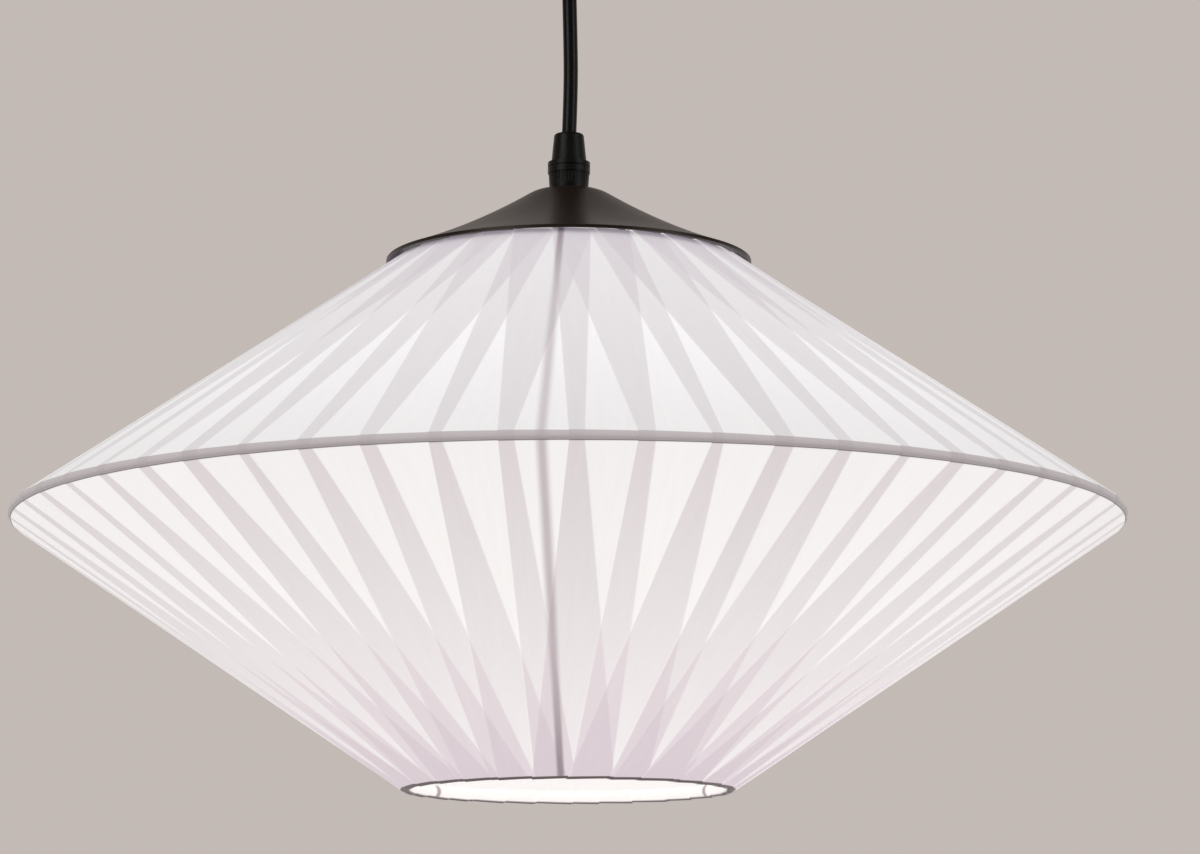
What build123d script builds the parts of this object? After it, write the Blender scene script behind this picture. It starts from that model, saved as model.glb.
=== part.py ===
from build123d import *
import os
from math import asin, atan2, cos, degrees, hypot, pi, radians, sin, sqrt, tan

os.makedirs("parts", exist_ok=True)

# A pendant lamp: a ceiling rose, a short cord, a cord grip, a metal cap, a lampholder with its bulb,
# and a double cone shade of one ribbon wound over a wire frame.
# Millimetres. The origin is on the ceiling at the rose's centre, +Z up, and the viewer is on the -Y side.
# Azimuths are measured from the -Y direction towards +X.

# Running and seating gaps
seat_gap = 0.05
bore_gap = 0.1
turn_gap = 0.1
clear_gap = 0.3

# Ceiling rose
rose_radius = 50.0
rose_depth = 25.0
rose_wall = 2.0
rose_edge = 5.0
ceiling_gap = 0.5
bracket_thickness = 1.5
bracket_width = 18.0
bracket_disc_radius = 22.0
cable_hole_radius = 6.5
fixing_spacing = 60.0
fixing_slot_width = 4.6
fixing_slot_length = 8.0
tab_depth = 13.0
side_screw_radius = 1.5
side_screw_head_radius = 3.0
side_screw_head_height = 2.0
side_screw_length = 8.0
side_screw_drop = 8.0
drive_width = 0.8
drive_depth = 1.0
bend_share = 0.9
round_share = 0.4

# Strain relief of the rose
relief_stem_radius = 5.0
relief_stem_length = 9.0
relief_collar_radius = 9.5
relief_collar_height = 7.0
relief_length = 12.0
relief_mouth_wall = 2.2
relief_pivot_depth = 4.0
relief_nut_flats = 14.0
relief_nut_height = 3.0
nut_chamfer = 0.4
clamp_screw_radius = 1.75
cord_stub = 1.5

# Terminals in the rose
block_length = 21.0
block_width = 12.0
block_height = 11.0
block_corner = 1.2
block_from_axis = 9.0
barrel_offset = 6.0
block_screw_radius = 1.3
block_screw_head_radius = 2.4
block_screw_head_height = 1.4
barrel_radius = 2.3
barrel_bore_radius = 1.25
terminal_screw_radius = 1.1
terminal_screw_length = 4.2
earth_screw_radius = 2.0
earth_head_radius = 3.6
earth_head_height = 2.2
earth_from_axis = 15.0
eyelet_thickness = 0.8
lead_radius = 1.0
lead_circle = 1.9
core_angle = 120.0
lead_bend = 2.2
barrel_lead_in = 3.3
tail_width = 3.0

# Cord, by hand-picked points from the rose's pivot down to the grip's pivot
cord_radius = 3.3
cord_length = 71.0
cord_bow = 0.9
cord_upper_run = 24.0
cord_middle_run = 24.0
cord_upper_bow = 0.6
arc_share = 0.45
swing_limit = 20.0

# Cord grip
grip_height = 26.2
grip_top_radius = 6.7
grip_cone_radius = 8.0
grip_cone_height = 13.3
grip_flange_radius = 9.6
grip_flange_height = 1.9
grip_groove = 0.4
grip_pivot_depth = 1.5
grip_top_round = 1.2
collar_radius = 9.6
collar_height = 2.8
ribbed_top_radius = 9.2
ribbed_base_radius = 8.8
rib_count = 40
rib_notch_radius = 0.3
grip_thread_radius = 6.1
collet_radius = 5.2
collet_length = 5.8
collet_seat = 3.3
collet_slit = 0.7
nipple_radius = 5.0
nipple_bore_radius = 3.7
nipple_engagement = 7.0
nipple_tail = 0.8

# Metal cap
cap_top_radius = 14.9
cap_overhang = 6.5
cap_height = 33.0
cap_mid_radius = 46.0
cap_mid_drop = 17.6
cap_thickness = 0.8
cap_lip = 1.4
cap_shoulder = 18.0

# Lampholder
fibre_washer_radius = 9.0
fibre_washer_thickness = 1.1
dome_top_radius = 11.0
dome_radius = 21.0
dome_height = 20.0
dome_shoulder_drop = 9.0
dome_wall = 2.0
skirt_radius = 19.75
skirt_wall = 1.8
skirt_length = 36.0
skirt_spigot = 5.0
skirt_ledge = 1.4
skirt_ledge_height = 2.0
insert_height = 6.0
insert_cavity_radius = 10.0
insert_boss_radius = 15.0
insert_boss_length = 7.0
shell_bore_radius = 13.45
shell_thickness = 0.4
shell_length = 23.0
contact_width = 6.0
contact_thickness = 0.5
contact_post_x = -8.0
contact_reach = 5.0
holder_terminal_size = 5.0
holder_terminal_offset = 11.0
earth_tag_radius = 8.5
earth_tag_drop = 4.2
locknut_flats = 14.0
locknut_height = 3.0
holder_lead_bend = 1.05
spider_ring_radius = 29.5
spider_ring_thickness = 1.5
shade_ring_radius = 28.0
shade_ring_flange = 1.6
shade_ring_collar = 24.0
shade_ring_height = 6.0
shade_ring_notches = 24
shade_ring_notch_radius = 1.0

# Shade frame
shade_radius = 250.0
equator_wire_radius = 2.0
small_wire_radius = 1.5
top_ring_radius = 76.0
bottom_ring_radius = 72.0
ribbon_rise_in_cap = 0.5
top_ring_rise = 116.0
bottom_ring_drop = 117.0
frame_sides = 3
first_rib_azimuth = -2.0

# Ribbon
ribbon_width = 34.0
ribbon_thickness = 0.3
ribbon_layer_gap = 0.2
ribbon_passes = 56
ribbon_layers = 4

# Bulb: an opal bulb with a plastic neck and a light board
bulb_length = 105.0
bulb_radius = 30.0
globe_wall = 1.0
neck_top_radius = 14.6
neck_joint_rise = 18.0
neck_wall = 1.5
neck_plug_length = 6.3
board_radius = 17.0
board_thickness = 1.5
board_inset = 3.5
chip_count = 8
chip_circle = 11.0
chip_size = 3.0
chip_height = 0.7
bulb_cap_radius = 13.1
bulb_cap_wall = 0.4
bulb_cap_length = 27.0
bulb_insulator_height = 4.5
bulb_insulator_radius = 11.0
bulb_tip_radius = 4.8
bulb_tip_height = 1.2
tip_round = 0.8

# Heights, from the ceiling down
relief_mouth_z = -rose_depth - relief_length
rose_pivot_z = relief_mouth_z + relief_pivot_depth
grip_pivot_z = rose_pivot_z - cord_length
grip_top_z = grip_pivot_z + grip_pivot_depth
grip_nut_base_z = grip_top_z - grip_cone_height - grip_flange_height
collar_top_z = grip_nut_base_z - grip_groove
grip_base_z = grip_top_z - grip_height
cap_top_z = grip_base_z - turn_gap
cap_rim_radius = top_ring_radius + cap_overhang
cap_rim_z = cap_top_z - cap_height
washer_top_z = cap_top_z - cap_thickness
dome_top_z = washer_top_z - fibre_washer_thickness
dome_base_z = dome_top_z - dome_height
spider_base_z = dome_base_z - spider_ring_thickness
skirt_base_z = dome_base_z - skirt_length

# The ribbon's innermost face runs this far outside the line through the frame rings' centres
ribbon_offset = equator_wire_radius + bore_gap
layer_pitch = ribbon_thickness + ribbon_layer_gap
ribbon_outer_offset = ribbon_offset + ribbon_layers * layer_pitch - ribbon_layer_gap
equator_ring_radius = shade_radius - ribbon_outer_offset
top_ring_z = cap_rim_z - ribbon_outer_offset + ribbon_rise_in_cap
equator_z = top_ring_z - top_ring_rise
bottom_ring_z = equator_z - bottom_ring_drop


# A closed outline of radius and height pairs in the XZ plane, to be turned about the Z axis
def turned_outline(*points):
    with BuildSketch(Plane.XZ) as outline:
        with BuildLine():
            Polyline(*points, close=True)
        make_face()
    return outline.sketch


# A round wire or lead along straight runs with rounded corners
def wire_along(points, corner_radius, wire_radius):
    with BuildPart() as wire:
        with BuildLine() as route:
            FilletPolyline(*points, radius=corner_radius)
        with BuildSketch(Plane(origin=route.line @ 0, z_dir=route.line % 0)):
            Circle(wire_radius)
        sweep(path=route.line)
    return wire.part


# A point at a radius, an azimuth and a height
def polar_point(radius, azimuth, height):
    return (radius * sin(radians(azimuth)), -radius * cos(radians(azimuth)), height)


# Ceiling bracket: a pressed steel strip with a round middle and two tabs for the cup's screws
cup_bore = rose_radius - rose_wall
tab_face_x = sqrt(cup_bore**2 - (bracket_width / 2) ** 2) - clear_gap
side_screw_z = -side_screw_drop
with BuildPart() as ceiling_bracket:
    with BuildSketch(Plane.XY.offset(-bracket_thickness)):
        Rectangle(2 * tab_face_x, bracket_width)
        Circle(bracket_disc_radius)
        Circle(cable_hole_radius, mode=Mode.SUBTRACT)
        with GridLocations(fixing_spacing, 0, 2, 1):
            SlotOverall(fixing_slot_length, fixing_slot_width, mode=Mode.SUBTRACT)
        with Locations((0, -earth_from_axis)):
            Circle(earth_screw_radius + seat_gap, mode=Mode.SUBTRACT)
        with Locations((0, block_from_axis + block_width / 2)):
            Circle(block_screw_radius + seat_gap, mode=Mode.SUBTRACT)
    extrude(amount=bracket_thickness)
    with BuildSketch(Plane.XY.offset(-bracket_thickness)):
        with GridLocations(2 * tab_face_x - bracket_thickness, 0, 2, 1):
            Rectangle(bracket_thickness, bracket_width)
    extrude(amount=-(tab_depth - bracket_thickness))
    with BuildSketch(Plane.YZ.offset(-rose_radius)):
        with Locations((0, side_screw_z)):
            Circle(side_screw_radius + seat_gap)
    extrude(amount=2 * rose_radius, mode=Mode.SUBTRACT)
    fillet(ceiling_bracket.edges().filter_by(Axis.Y).group_by(Axis.Z)[-1], bracket_thickness * bend_share)
ceiling_bracket.part.label = "ceiling_bracket"
export_step(ceiling_bracket.part, "parts/ceiling_bracket.step")

# Rose cup: a black moulded cup that hides the bracket and the terminals
with BuildPart() as rose_cup:
    with BuildSketch(Plane.XZ) as cup_wall:
        with BuildLine():
            Polyline(
                (relief_stem_radius + bore_gap, -rose_depth),
                (rose_radius, -rose_depth),
                (rose_radius, -ceiling_gap),
                (cup_bore, -ceiling_gap),
                (cup_bore, -rose_depth + rose_wall),
                (relief_stem_radius + bore_gap, -rose_depth + rose_wall),
                close=True,
            )
        make_face()
        outer_corner = cup_wall.vertices().group_by(Axis.Y)[0].sort_by(Axis.X)[-1]
        fillet(outer_corner, rose_edge)
        inner_corner = cup_wall.vertices().group_by(Axis.Y)[1].sort_by(Axis.X)[-1]
        fillet(inner_corner, rose_edge - rose_wall)
    revolve(axis=Axis.Z)
    with BuildSketch(Plane.YZ.offset(-rose_radius)):
        with Locations((0, side_screw_z)):
            Circle(side_screw_radius + bore_gap)
    extrude(amount=2 * rose_radius, mode=Mode.SUBTRACT)
rose_cup.part.label = "rose_cup"
export_step(rose_cup.part, "parts/rose_cup.step")

# Side screws: two slotted pan heads through the cup's wall into the bracket's tabs
with BuildPart() as side_screw:
    with BuildSketch(Plane.YZ.offset(rose_radius + seat_gap)):
        with Locations((0, side_screw_z)):
            Circle(side_screw_head_radius)
    extrude(amount=side_screw_head_height)
    fillet(side_screw.faces().sort_by(Axis.X)[-1].edges(), side_screw_head_height * round_share)
    with BuildSketch(Plane.YZ.offset(rose_radius + seat_gap)):
        with Locations((0, side_screw_z)):
            Circle(side_screw_radius)
    extrude(amount=-side_screw_length)
    with BuildSketch(Plane.YZ.offset(rose_radius + seat_gap + side_screw_head_height)):
        with Locations((0, side_screw_z)):
            Rectangle(drive_width, 2 * side_screw_head_radius)
    extrude(amount=-drive_depth, mode=Mode.SUBTRACT)
with BuildPart() as rose_side_screws:
    with PolarLocations(0, 2):
        add(side_screw.part)
rose_side_screws.part.label = "rose_side_screws"
export_step(rose_side_screws.part, "parts/rose_side_screws.step")

# Strain relief: a threaded stem through the cup's floor and a bell mouth that lets the cord swing
cord_bore = cord_radius + clear_gap
flare = tan(radians(swing_limit))
relief_mouth_radius = cord_radius / cos(radians(swing_limit)) + relief_pivot_depth * flare + clear_gap
relief_collar_base_z = -rose_depth - relief_collar_height
clamp_screw_z = -rose_depth - relief_collar_height / 2
with BuildPart() as rose_relief:
    with BuildSketch(Plane.XZ) as relief_wall:
        with BuildLine():
            Polyline(
                (cord_bore, -rose_depth + relief_stem_length),
                (relief_stem_radius, -rose_depth + relief_stem_length),
                (relief_stem_radius, -rose_depth),
                (relief_collar_radius, -rose_depth),
                (relief_collar_radius, relief_collar_base_z),
                (relief_mouth_radius + relief_mouth_wall, relief_mouth_z),
                (relief_mouth_radius, relief_mouth_z),
                (cord_bore, rose_pivot_z),
                close=True,
            )
        make_face()
        fillet(relief_wall.vertices().group_by(Axis.Y)[0].sort_by(Axis.X)[-1], relief_mouth_wall * round_share)
    revolve(axis=Axis.Z)
    with BuildSketch(Plane.YZ):
        with Locations((0, clamp_screw_z)):
            Circle(clamp_screw_radius + seat_gap)
    extrude(amount=2 * relief_collar_radius, mode=Mode.SUBTRACT)
rose_relief.part.label = "rose_relief"
export_step(rose_relief.part, "parts/rose_relief.step")

# Relief locknut: a hexagon nut on the stem, inside the cup
cup_floor_z = -rose_depth + rose_wall
with BuildPart() as relief_locknut:
    with BuildSketch(Plane.XY.offset(cup_floor_z)):
        RegularPolygon(relief_nut_flats / 2, 6, major_radius=False)
        Circle(relief_stem_radius + seat_gap, mode=Mode.SUBTRACT)
    extrude(amount=relief_nut_height)
    chamfer(relief_locknut.edges().group_by(Axis.Z)[-1].filter_by(GeomType.LINE), nut_chamfer)
relief_locknut.part.label = "relief_locknut"
export_step(relief_locknut.part, "parts/relief_locknut.step")

# Clamp screw: a slotted nylon grub screw that pinches the cord in the relief
with BuildPart() as relief_clamp_screw:
    with BuildSketch(Plane.YZ.offset(cord_radius + seat_gap)):
        with Locations((0, clamp_screw_z)):
            Circle(clamp_screw_radius)
    extrude(amount=relief_collar_radius - cord_radius - drive_depth)
    with BuildSketch(Plane.YZ.offset(relief_collar_radius - drive_depth + seat_gap)):
        with Locations((0, clamp_screw_z)):
            Rectangle(2 * clamp_screw_radius, drive_width)
    extrude(amount=-drive_depth, mode=Mode.SUBTRACT)
relief_clamp_screw.part.label = "relief_clamp_screw"
export_step(relief_clamp_screw.part, "parts/relief_clamp_screw.step")

# Cord end in the rose: the clamped length of the cord, above the pivot
rose_cord_top_z = -rose_depth + relief_stem_length + cord_stub
with BuildPart() as rose_cord_end:
    with BuildSketch(Plane.XY.offset(rose_pivot_z + cord_radius + clear_gap)):
        Circle(cord_radius)
    extrude(amount=rose_cord_top_z - rose_pivot_z - cord_radius - clear_gap)
rose_cord_end.part.label = "rose_cord_end"
export_step(rose_cord_end.part, "parts/rose_cord_end.step")

# Terminal block: a moulded two way block under the bracket
block_y = block_from_axis + block_width / 2
block_base_z = -bracket_thickness - block_height
barrel_z = -bracket_thickness - block_height / 2
barrel_hole_radius = barrel_radius + seat_gap
with BuildPart() as terminal_block:
    with BuildSketch(Plane.XY.offset(-bracket_thickness)):
        with Locations((0, block_y)):
            RectangleRounded(block_length, block_width, block_corner)
            Circle(block_screw_radius + seat_gap, mode=Mode.SUBTRACT)
    extrude(amount=-block_height)
    with BuildSketch(Plane.XZ.offset(-block_from_axis - block_width)):
        with Locations((-barrel_offset, barrel_z), (barrel_offset, barrel_z)):
            Circle(barrel_hole_radius)
    extrude(amount=block_width, mode=Mode.SUBTRACT)
    with BuildSketch(Plane.XY.offset(block_base_z)):
        with Locations((-barrel_offset, block_y), (barrel_offset, block_y)):
            Circle(terminal_screw_radius + bore_gap)
        with Locations((0, block_y)):
            Circle(block_screw_head_radius + bore_gap)
    extrude(amount=block_screw_head_height + bore_gap, mode=Mode.SUBTRACT)
    with BuildSketch(Plane.XY.offset(block_base_z)):
        with Locations((-barrel_offset, block_y), (barrel_offset, block_y)):
            Circle(terminal_screw_radius + bore_gap)
    extrude(amount=block_height / 2, mode=Mode.SUBTRACT)
terminal_block.part.label = "terminal_block"
export_step(terminal_block.part, "parts/terminal_block.step")

# Terminal barrels: two brass barrels in the block, bored for the leads and tapped for their screws
with BuildPart() as terminal_barrels:
    with BuildSketch(Plane.XZ.offset(-block_from_axis - block_width + clear_gap)):
        with Locations((-barrel_offset, barrel_z), (barrel_offset, barrel_z)):
            Circle(barrel_radius)
            Circle(barrel_bore_radius, mode=Mode.SUBTRACT)
    extrude(amount=block_width - 2 * clear_gap)
    with BuildSketch(Plane.XY.offset(barrel_z)):
        with Locations((-barrel_offset, block_y), (barrel_offset, block_y)):
            Circle(terminal_screw_radius + seat_gap)
    extrude(amount=-barrel_radius, mode=Mode.SUBTRACT)
terminal_barrels.part.label = "terminal_barrels"
export_step(terminal_barrels.part, "parts/terminal_barrels.step")

# Terminal screws: two slotted screws that press the leads in the barrels
terminal_screw_top_z = barrel_z - lead_radius - seat_gap
with BuildPart() as terminal_screws:
    with BuildSketch(Plane.XY.offset(terminal_screw_top_z)):
        with Locations((-barrel_offset, block_y), (barrel_offset, block_y)):
            Circle(terminal_screw_radius)
    extrude(amount=-terminal_screw_length)
    with BuildSketch(Plane.XY.offset(terminal_screw_top_z - terminal_screw_length)):
        with Locations((-barrel_offset, block_y), (barrel_offset, block_y)):
            Rectangle(2 * terminal_screw_radius, drive_width / 2)
    extrude(amount=drive_depth / 2, mode=Mode.SUBTRACT)
terminal_screws.part.label = "terminal_screws"
export_step(terminal_screws.part, "parts/terminal_screws.step")

# Block screw: holds the terminal block to the bracket
with BuildPart() as block_screw:
    with BuildSketch(Plane.XY.offset(block_base_z)):
        with Locations((0, block_y)):
            Circle(block_screw_head_radius)
            Rectangle(2 * block_screw_head_radius, drive_width, mode=Mode.SUBTRACT)
    extrude(amount=drive_depth / 2)
    with BuildSketch(Plane.XY.offset(block_base_z + drive_depth / 2)):
        with Locations((0, block_y)):
            Circle(block_screw_head_radius)
    extrude(amount=block_screw_head_height - drive_depth / 2)
    with BuildSketch(Plane.XY.offset(block_base_z + block_screw_head_height)):
        with Locations((0, block_y)):
            Circle(block_screw_radius)
    extrude(amount=block_height + bracket_thickness - block_screw_head_height - clear_gap)
block_screw.part.label = "block_screw"
export_step(block_screw.part, "parts/block_screw.step")

# Earth eyelet: a tinned ring with a tail, under the bracket's earth screw
with BuildPart() as earth_eyelet:
    with BuildSketch(Plane.XY.offset(-bracket_thickness)):
        with Locations((0, -earth_from_axis)):
            Circle(earth_head_radius)
        with Locations((0, -earth_from_axis + earth_head_radius)):
            Rectangle(tail_width, 2 * earth_head_radius)
        with Locations((0, -earth_from_axis)):
            Circle(earth_screw_radius + seat_gap, mode=Mode.SUBTRACT)
    extrude(amount=-eyelet_thickness)
earth_eyelet.part.label = "earth_eyelet"
export_step(earth_eyelet.part, "parts/earth_eyelet.step")

# Earth screw: a slotted brass screw from below into the bracket
earth_head_top_z = -bracket_thickness - eyelet_thickness
with BuildPart() as earth_screw:
    with BuildSketch(Plane.XY.offset(earth_head_top_z)):
        with Locations((0, -earth_from_axis)):
            Circle(earth_head_radius)
    extrude(amount=-earth_head_height)
    with BuildSketch(Plane.XY.offset(earth_head_top_z)):
        with Locations((0, -earth_from_axis)):
            Circle(earth_screw_radius)
    extrude(amount=-earth_head_top_z - clear_gap)
    with BuildSketch(Plane.XY.offset(earth_head_top_z - earth_head_height)):
        with Locations((0, -earth_from_axis)):
            Rectangle(2 * earth_head_radius, drive_width)
    extrude(amount=drive_depth, mode=Mode.SUBTRACT)
earth_screw.part.label = "earth_screw"
export_step(earth_screw.part, "parts/earth_screw.step")

# Rose leads: the cord's three cores, from its end to the block and to the earth eyelet
lead_side_x = lead_circle * sin(radians(core_angle))
lead_side_y = -lead_circle * cos(radians(core_angle))
earth_lead_z = earth_head_top_z - lead_radius - bore_gap
rose_lead_routes = {
    "rose_brown_lead": [
        (-lead_side_x, lead_side_y, rose_cord_top_z + seat_gap),
        (-lead_side_x, lead_side_y, barrel_z),
        (-barrel_offset, block_from_axis - barrel_lead_in, barrel_z),
        (-barrel_offset, block_y, barrel_z),
    ],
    "rose_blue_lead": [
        (lead_side_x, lead_side_y, rose_cord_top_z + seat_gap),
        (lead_side_x, lead_side_y, barrel_z),
        (barrel_offset, block_from_axis - barrel_lead_in, barrel_z),
        (barrel_offset, block_y, barrel_z),
    ],
    "rose_earth_lead": [
        (0, -lead_circle, rose_cord_top_z + seat_gap),
        (0, -lead_circle, earth_lead_z),
        (0, -earth_from_axis + earth_head_radius + clear_gap, earth_lead_z),
    ],
}
for name, points in rose_lead_routes.items():
    rose_lead = wire_along(points, lead_bend, lead_radius)
    rose_lead.label = name
    export_step(rose_lead, f"parts/{name}.step")

# Cord: the free length between the two pivots, a slight bow to the right as it hangs
cord_points = [
    (0, 0, rose_pivot_z),
    (cord_upper_bow, 0, rose_pivot_z - cord_upper_run),
    (cord_bow, 0, rose_pivot_z - cord_upper_run - cord_middle_run),
    (0, 0, grip_pivot_z),
]
cord_runs = [hypot(b[0] - a[0], b[2] - a[2]) for a, b in zip(cord_points, cord_points[1:])]
cord_angles = [degrees(atan2(b[0] - a[0], a[2] - b[2])) for a, b in zip(cord_points, cord_points[1:])]
cord_radii = []
for run, next_run, angle, next_angle in zip(cord_runs, cord_runs[1:], cord_angles, cord_angles[1:]):
    half_turn = abs(next_angle - angle) / 2
    cord_radii.append(arc_share * min(run, next_run) / tan(radians(half_turn)))
print("cord bend radii", [round(radius) for radius in cord_radii])
with BuildPart() as cord:
    with BuildLine() as cord_route:
        cord_line = FilletPolyline(*cord_points, radius=cord_radii)
    with BuildSketch(Plane(origin=cord_route.line @ 0, z_dir=cord_route.line % 0)):
        Circle(cord_radius)
    sweep(path=cord_route.line)
    print("cord volume", cord.part.volume, "expected", pi * cord_radius**2 * cord_line.length)
    print("cord length", cord_line.length)
    with Locations((0, 0, rose_pivot_z), (0, 0, grip_pivot_z)):
        Sphere(cord_radius)
cord.part.label = "cord"
export_step(cord.part, "parts/cord.step")

# Grip nut: a conical black clamp nut with a flange, and a flared mouth that lets the lamp tilt
grip_cone_base_z = grip_top_z - grip_cone_height
grip_mouth_radius = cord_radius / cos(radians(swing_limit)) + grip_pivot_depth * flare + clear_gap
grip_shoulder_z = grip_pivot_z - cord_radius - clear_gap
collet_top_z = grip_shoulder_z - seat_gap
collet_base_z = collet_top_z - collet_length
spigot_top_z = collet_base_z + collet_seat
collet_chamber_radius = collet_radius + bore_gap
grip_thread_bore = grip_thread_radius + bore_gap
with BuildPart() as grip_nut:
    with BuildSketch(Plane.XZ) as nut_wall:
        with BuildLine():
            Polyline(
                (grip_mouth_radius, grip_top_z),
                (grip_top_radius, grip_top_z),
                (grip_cone_radius, grip_cone_base_z),
                (grip_flange_radius, grip_cone_base_z),
                (grip_flange_radius, grip_nut_base_z),
                (grip_thread_bore, grip_nut_base_z),
                (grip_thread_bore, spigot_top_z + bore_gap),
                (collet_chamber_radius, spigot_top_z + bore_gap),
                (collet_chamber_radius, grip_shoulder_z),
                (cord_bore, grip_shoulder_z),
                (cord_bore, grip_pivot_z),
                close=True,
            )
        make_face()
        fillet(nut_wall.vertices().group_by(Axis.Y)[-1].sort_by(Axis.X)[-1], grip_top_round)
    revolve(axis=Axis.Z)
grip_nut.part.label = "grip_nut"
export_step(grip_nut.part, "parts/grip_nut.step")

# Grip collet: a slit plastic ring that the nut squeezes round the cord
with BuildPart() as grip_collet:
    revolve(
        turned_outline(
            (cord_radius + seat_gap, collet_top_z),
            (collet_radius - clear_gap, collet_top_z),
            (collet_radius, collet_top_z - clear_gap),
            (collet_radius, collet_base_z),
            (cord_radius + seat_gap, collet_base_z),
        ),
        axis=Axis.Z,
    )
    with BuildSketch(Plane.XY.offset(collet_base_z)):
        with Locations((collet_radius / 2, 0)):
            Rectangle(collet_radius, collet_slit)
    extrude(amount=collet_length, mode=Mode.SUBTRACT)
grip_collet.part.label = "grip_collet"
export_step(grip_collet.part, "parts/grip_collet.step")

# Grip body: a black body with a smooth collar, a ribbed waist and a thread inside for the nipple
collar_base_z = collar_top_z - collar_height
grip_cord_end_z = grip_base_z + nipple_engagement + clear_gap
nipple_top_z = grip_base_z + nipple_engagement - clear_gap
with BuildPart() as grip_body:
    revolve(
        turned_outline(
            (cord_radius + bore_gap, collet_base_z - seat_gap),
            (collet_chamber_radius, collet_base_z - seat_gap),
            (collet_chamber_radius, spigot_top_z),
            (grip_thread_radius, spigot_top_z),
            (grip_thread_radius, collar_top_z),
            (collar_radius, collar_top_z),
            (collar_radius, collar_base_z),
            (ribbed_top_radius, collar_base_z),
            (ribbed_base_radius, grip_base_z),
            (nipple_radius + seat_gap, grip_base_z),
            (nipple_radius + seat_gap, grip_base_z + nipple_engagement),
            (cord_radius + bore_gap, grip_base_z + nipple_engagement),
        ),
        axis=Axis.Z,
    )
    with BuildSketch(Plane.XY.offset(grip_base_z)):
        with PolarLocations(ribbed_top_radius, rib_count):
            Circle(rib_notch_radius)
    extrude(amount=collar_base_z - grip_base_z - clear_gap, mode=Mode.SUBTRACT)
grip_body.part.label = "grip_body"
export_step(grip_body.part, "parts/grip_body.step")

# Cord end in the grip: the clamped length of the cord, below the pivot
with BuildPart() as grip_cord_end:
    with BuildSketch(Plane.XY.offset(grip_cord_end_z)):
        Circle(cord_radius)
    extrude(amount=grip_shoulder_z - grip_cord_end_z)
grip_cord_end.part.label = "grip_cord_end"
export_step(grip_cord_end.part, "parts/grip_cord_end.step")

# Threaded nipple: the hollow steel tube that carries the cap and the lampholder
tag_top_z = dome_top_z - dome_wall - seat_gap
locknut_top_z = tag_top_z - eyelet_thickness - turn_gap
locknut_base_z = locknut_top_z - locknut_height
nipple_base_z = locknut_base_z - nipple_tail
with BuildPart() as threaded_nipple:
    with BuildSketch(Plane.XY.offset(nipple_base_z)):
        Circle(nipple_radius)
        Circle(nipple_bore_radius, mode=Mode.SUBTRACT)
    extrude(amount=nipple_top_z - nipple_base_z)
threaded_nipple.part.label = "threaded_nipple"
export_step(threaded_nipple.part, "parts/threaded_nipple.step")

# Nipple locknut: a hexagon nut under the lampholder's top
with BuildPart() as nipple_locknut:
    with BuildSketch(Plane.XY.offset(locknut_base_z)):
        RegularPolygon(locknut_flats / 2, 6, major_radius=False)
        Circle(nipple_radius + seat_gap, mode=Mode.SUBTRACT)
    extrude(amount=locknut_height)
nipple_locknut.part.label = "nipple_locknut"
export_step(nipple_locknut.part, "parts/nipple_locknut.step")

# Shade cap: a spun metal cone with a rounded shoulder, slightly hollow in its slope, with a turned down lip
with BuildPart() as shade_cap:
    with BuildSketch(Plane.XZ) as cap_wall:
        with BuildLine():
            Line((nipple_radius + bore_gap, cap_top_z), (cap_top_radius, cap_top_z))
            ThreePointArc(
                (cap_top_radius, cap_top_z),
                (cap_mid_radius, cap_top_z - cap_mid_drop),
                (cap_rim_radius, cap_rim_z),
            )
            Line((cap_rim_radius, cap_rim_z), (cap_rim_radius, cap_rim_z - cap_thickness))
            ThreePointArc(
                (cap_rim_radius, cap_rim_z - cap_thickness),
                (cap_mid_radius, cap_top_z - cap_mid_drop - cap_thickness),
                (cap_top_radius, cap_top_z - cap_thickness),
            )
            Line((cap_top_radius, washer_top_z), (nipple_radius + bore_gap, washer_top_z))
            Line((nipple_radius + bore_gap, washer_top_z), (nipple_radius + bore_gap, cap_top_z))
        make_face()
        with Locations((cap_rim_radius - cap_thickness / 2, cap_rim_z - cap_lip / 2)):
            Rectangle(cap_thickness, cap_lip)
        inner_shoulder = cap_wall.vertices().group_by(Axis.Y)[-2].sort_by(Axis.X)[-1]
        fillet(inner_shoulder, cap_shoulder - cap_thickness)
        outer_shoulder = cap_wall.vertices().group_by(Axis.Y)[-1].sort_by(Axis.X)[-1]
        fillet(outer_shoulder, cap_shoulder)
    revolve(axis=Axis.Z)
shade_cap.part.label = "shade_cap"
export_step(shade_cap.part, "parts/shade_cap.step")

# Fibre washer: between the cap and the lampholder
with BuildPart() as fibre_washer:
    with BuildSketch(Plane.XY.offset(dome_top_z)):
        Circle(fibre_washer_radius)
        Circle(nipple_radius + bore_gap, mode=Mode.SUBTRACT)
    extrude(amount=fibre_washer_thickness)
fibre_washer.part.label = "fibre_washer"
export_step(fibre_washer.part, "parts/fibre_washer.step")

# Lampholder dome: the black upper shell, screwed over the skirt
dome_bore = dome_radius - dome_wall
with BuildPart() as lampholder_dome:
    revolve(
        turned_outline(
            (nipple_radius + bore_gap, dome_top_z),
            (dome_top_radius, dome_top_z),
            (dome_radius, dome_top_z - dome_shoulder_drop),
            (dome_radius, dome_base_z),
            (dome_bore, dome_base_z),
            (dome_bore, dome_top_z - dome_shoulder_drop - dome_wall / 2),
            (dome_top_radius - dome_wall / 2, dome_top_z - dome_wall),
            (nipple_radius + bore_gap, dome_top_z - dome_wall),
        ),
        axis=Axis.Z,
    )
lampholder_dome.part.label = "lampholder_dome"
export_step(lampholder_dome.part, "parts/lampholder_dome.step")

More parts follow.
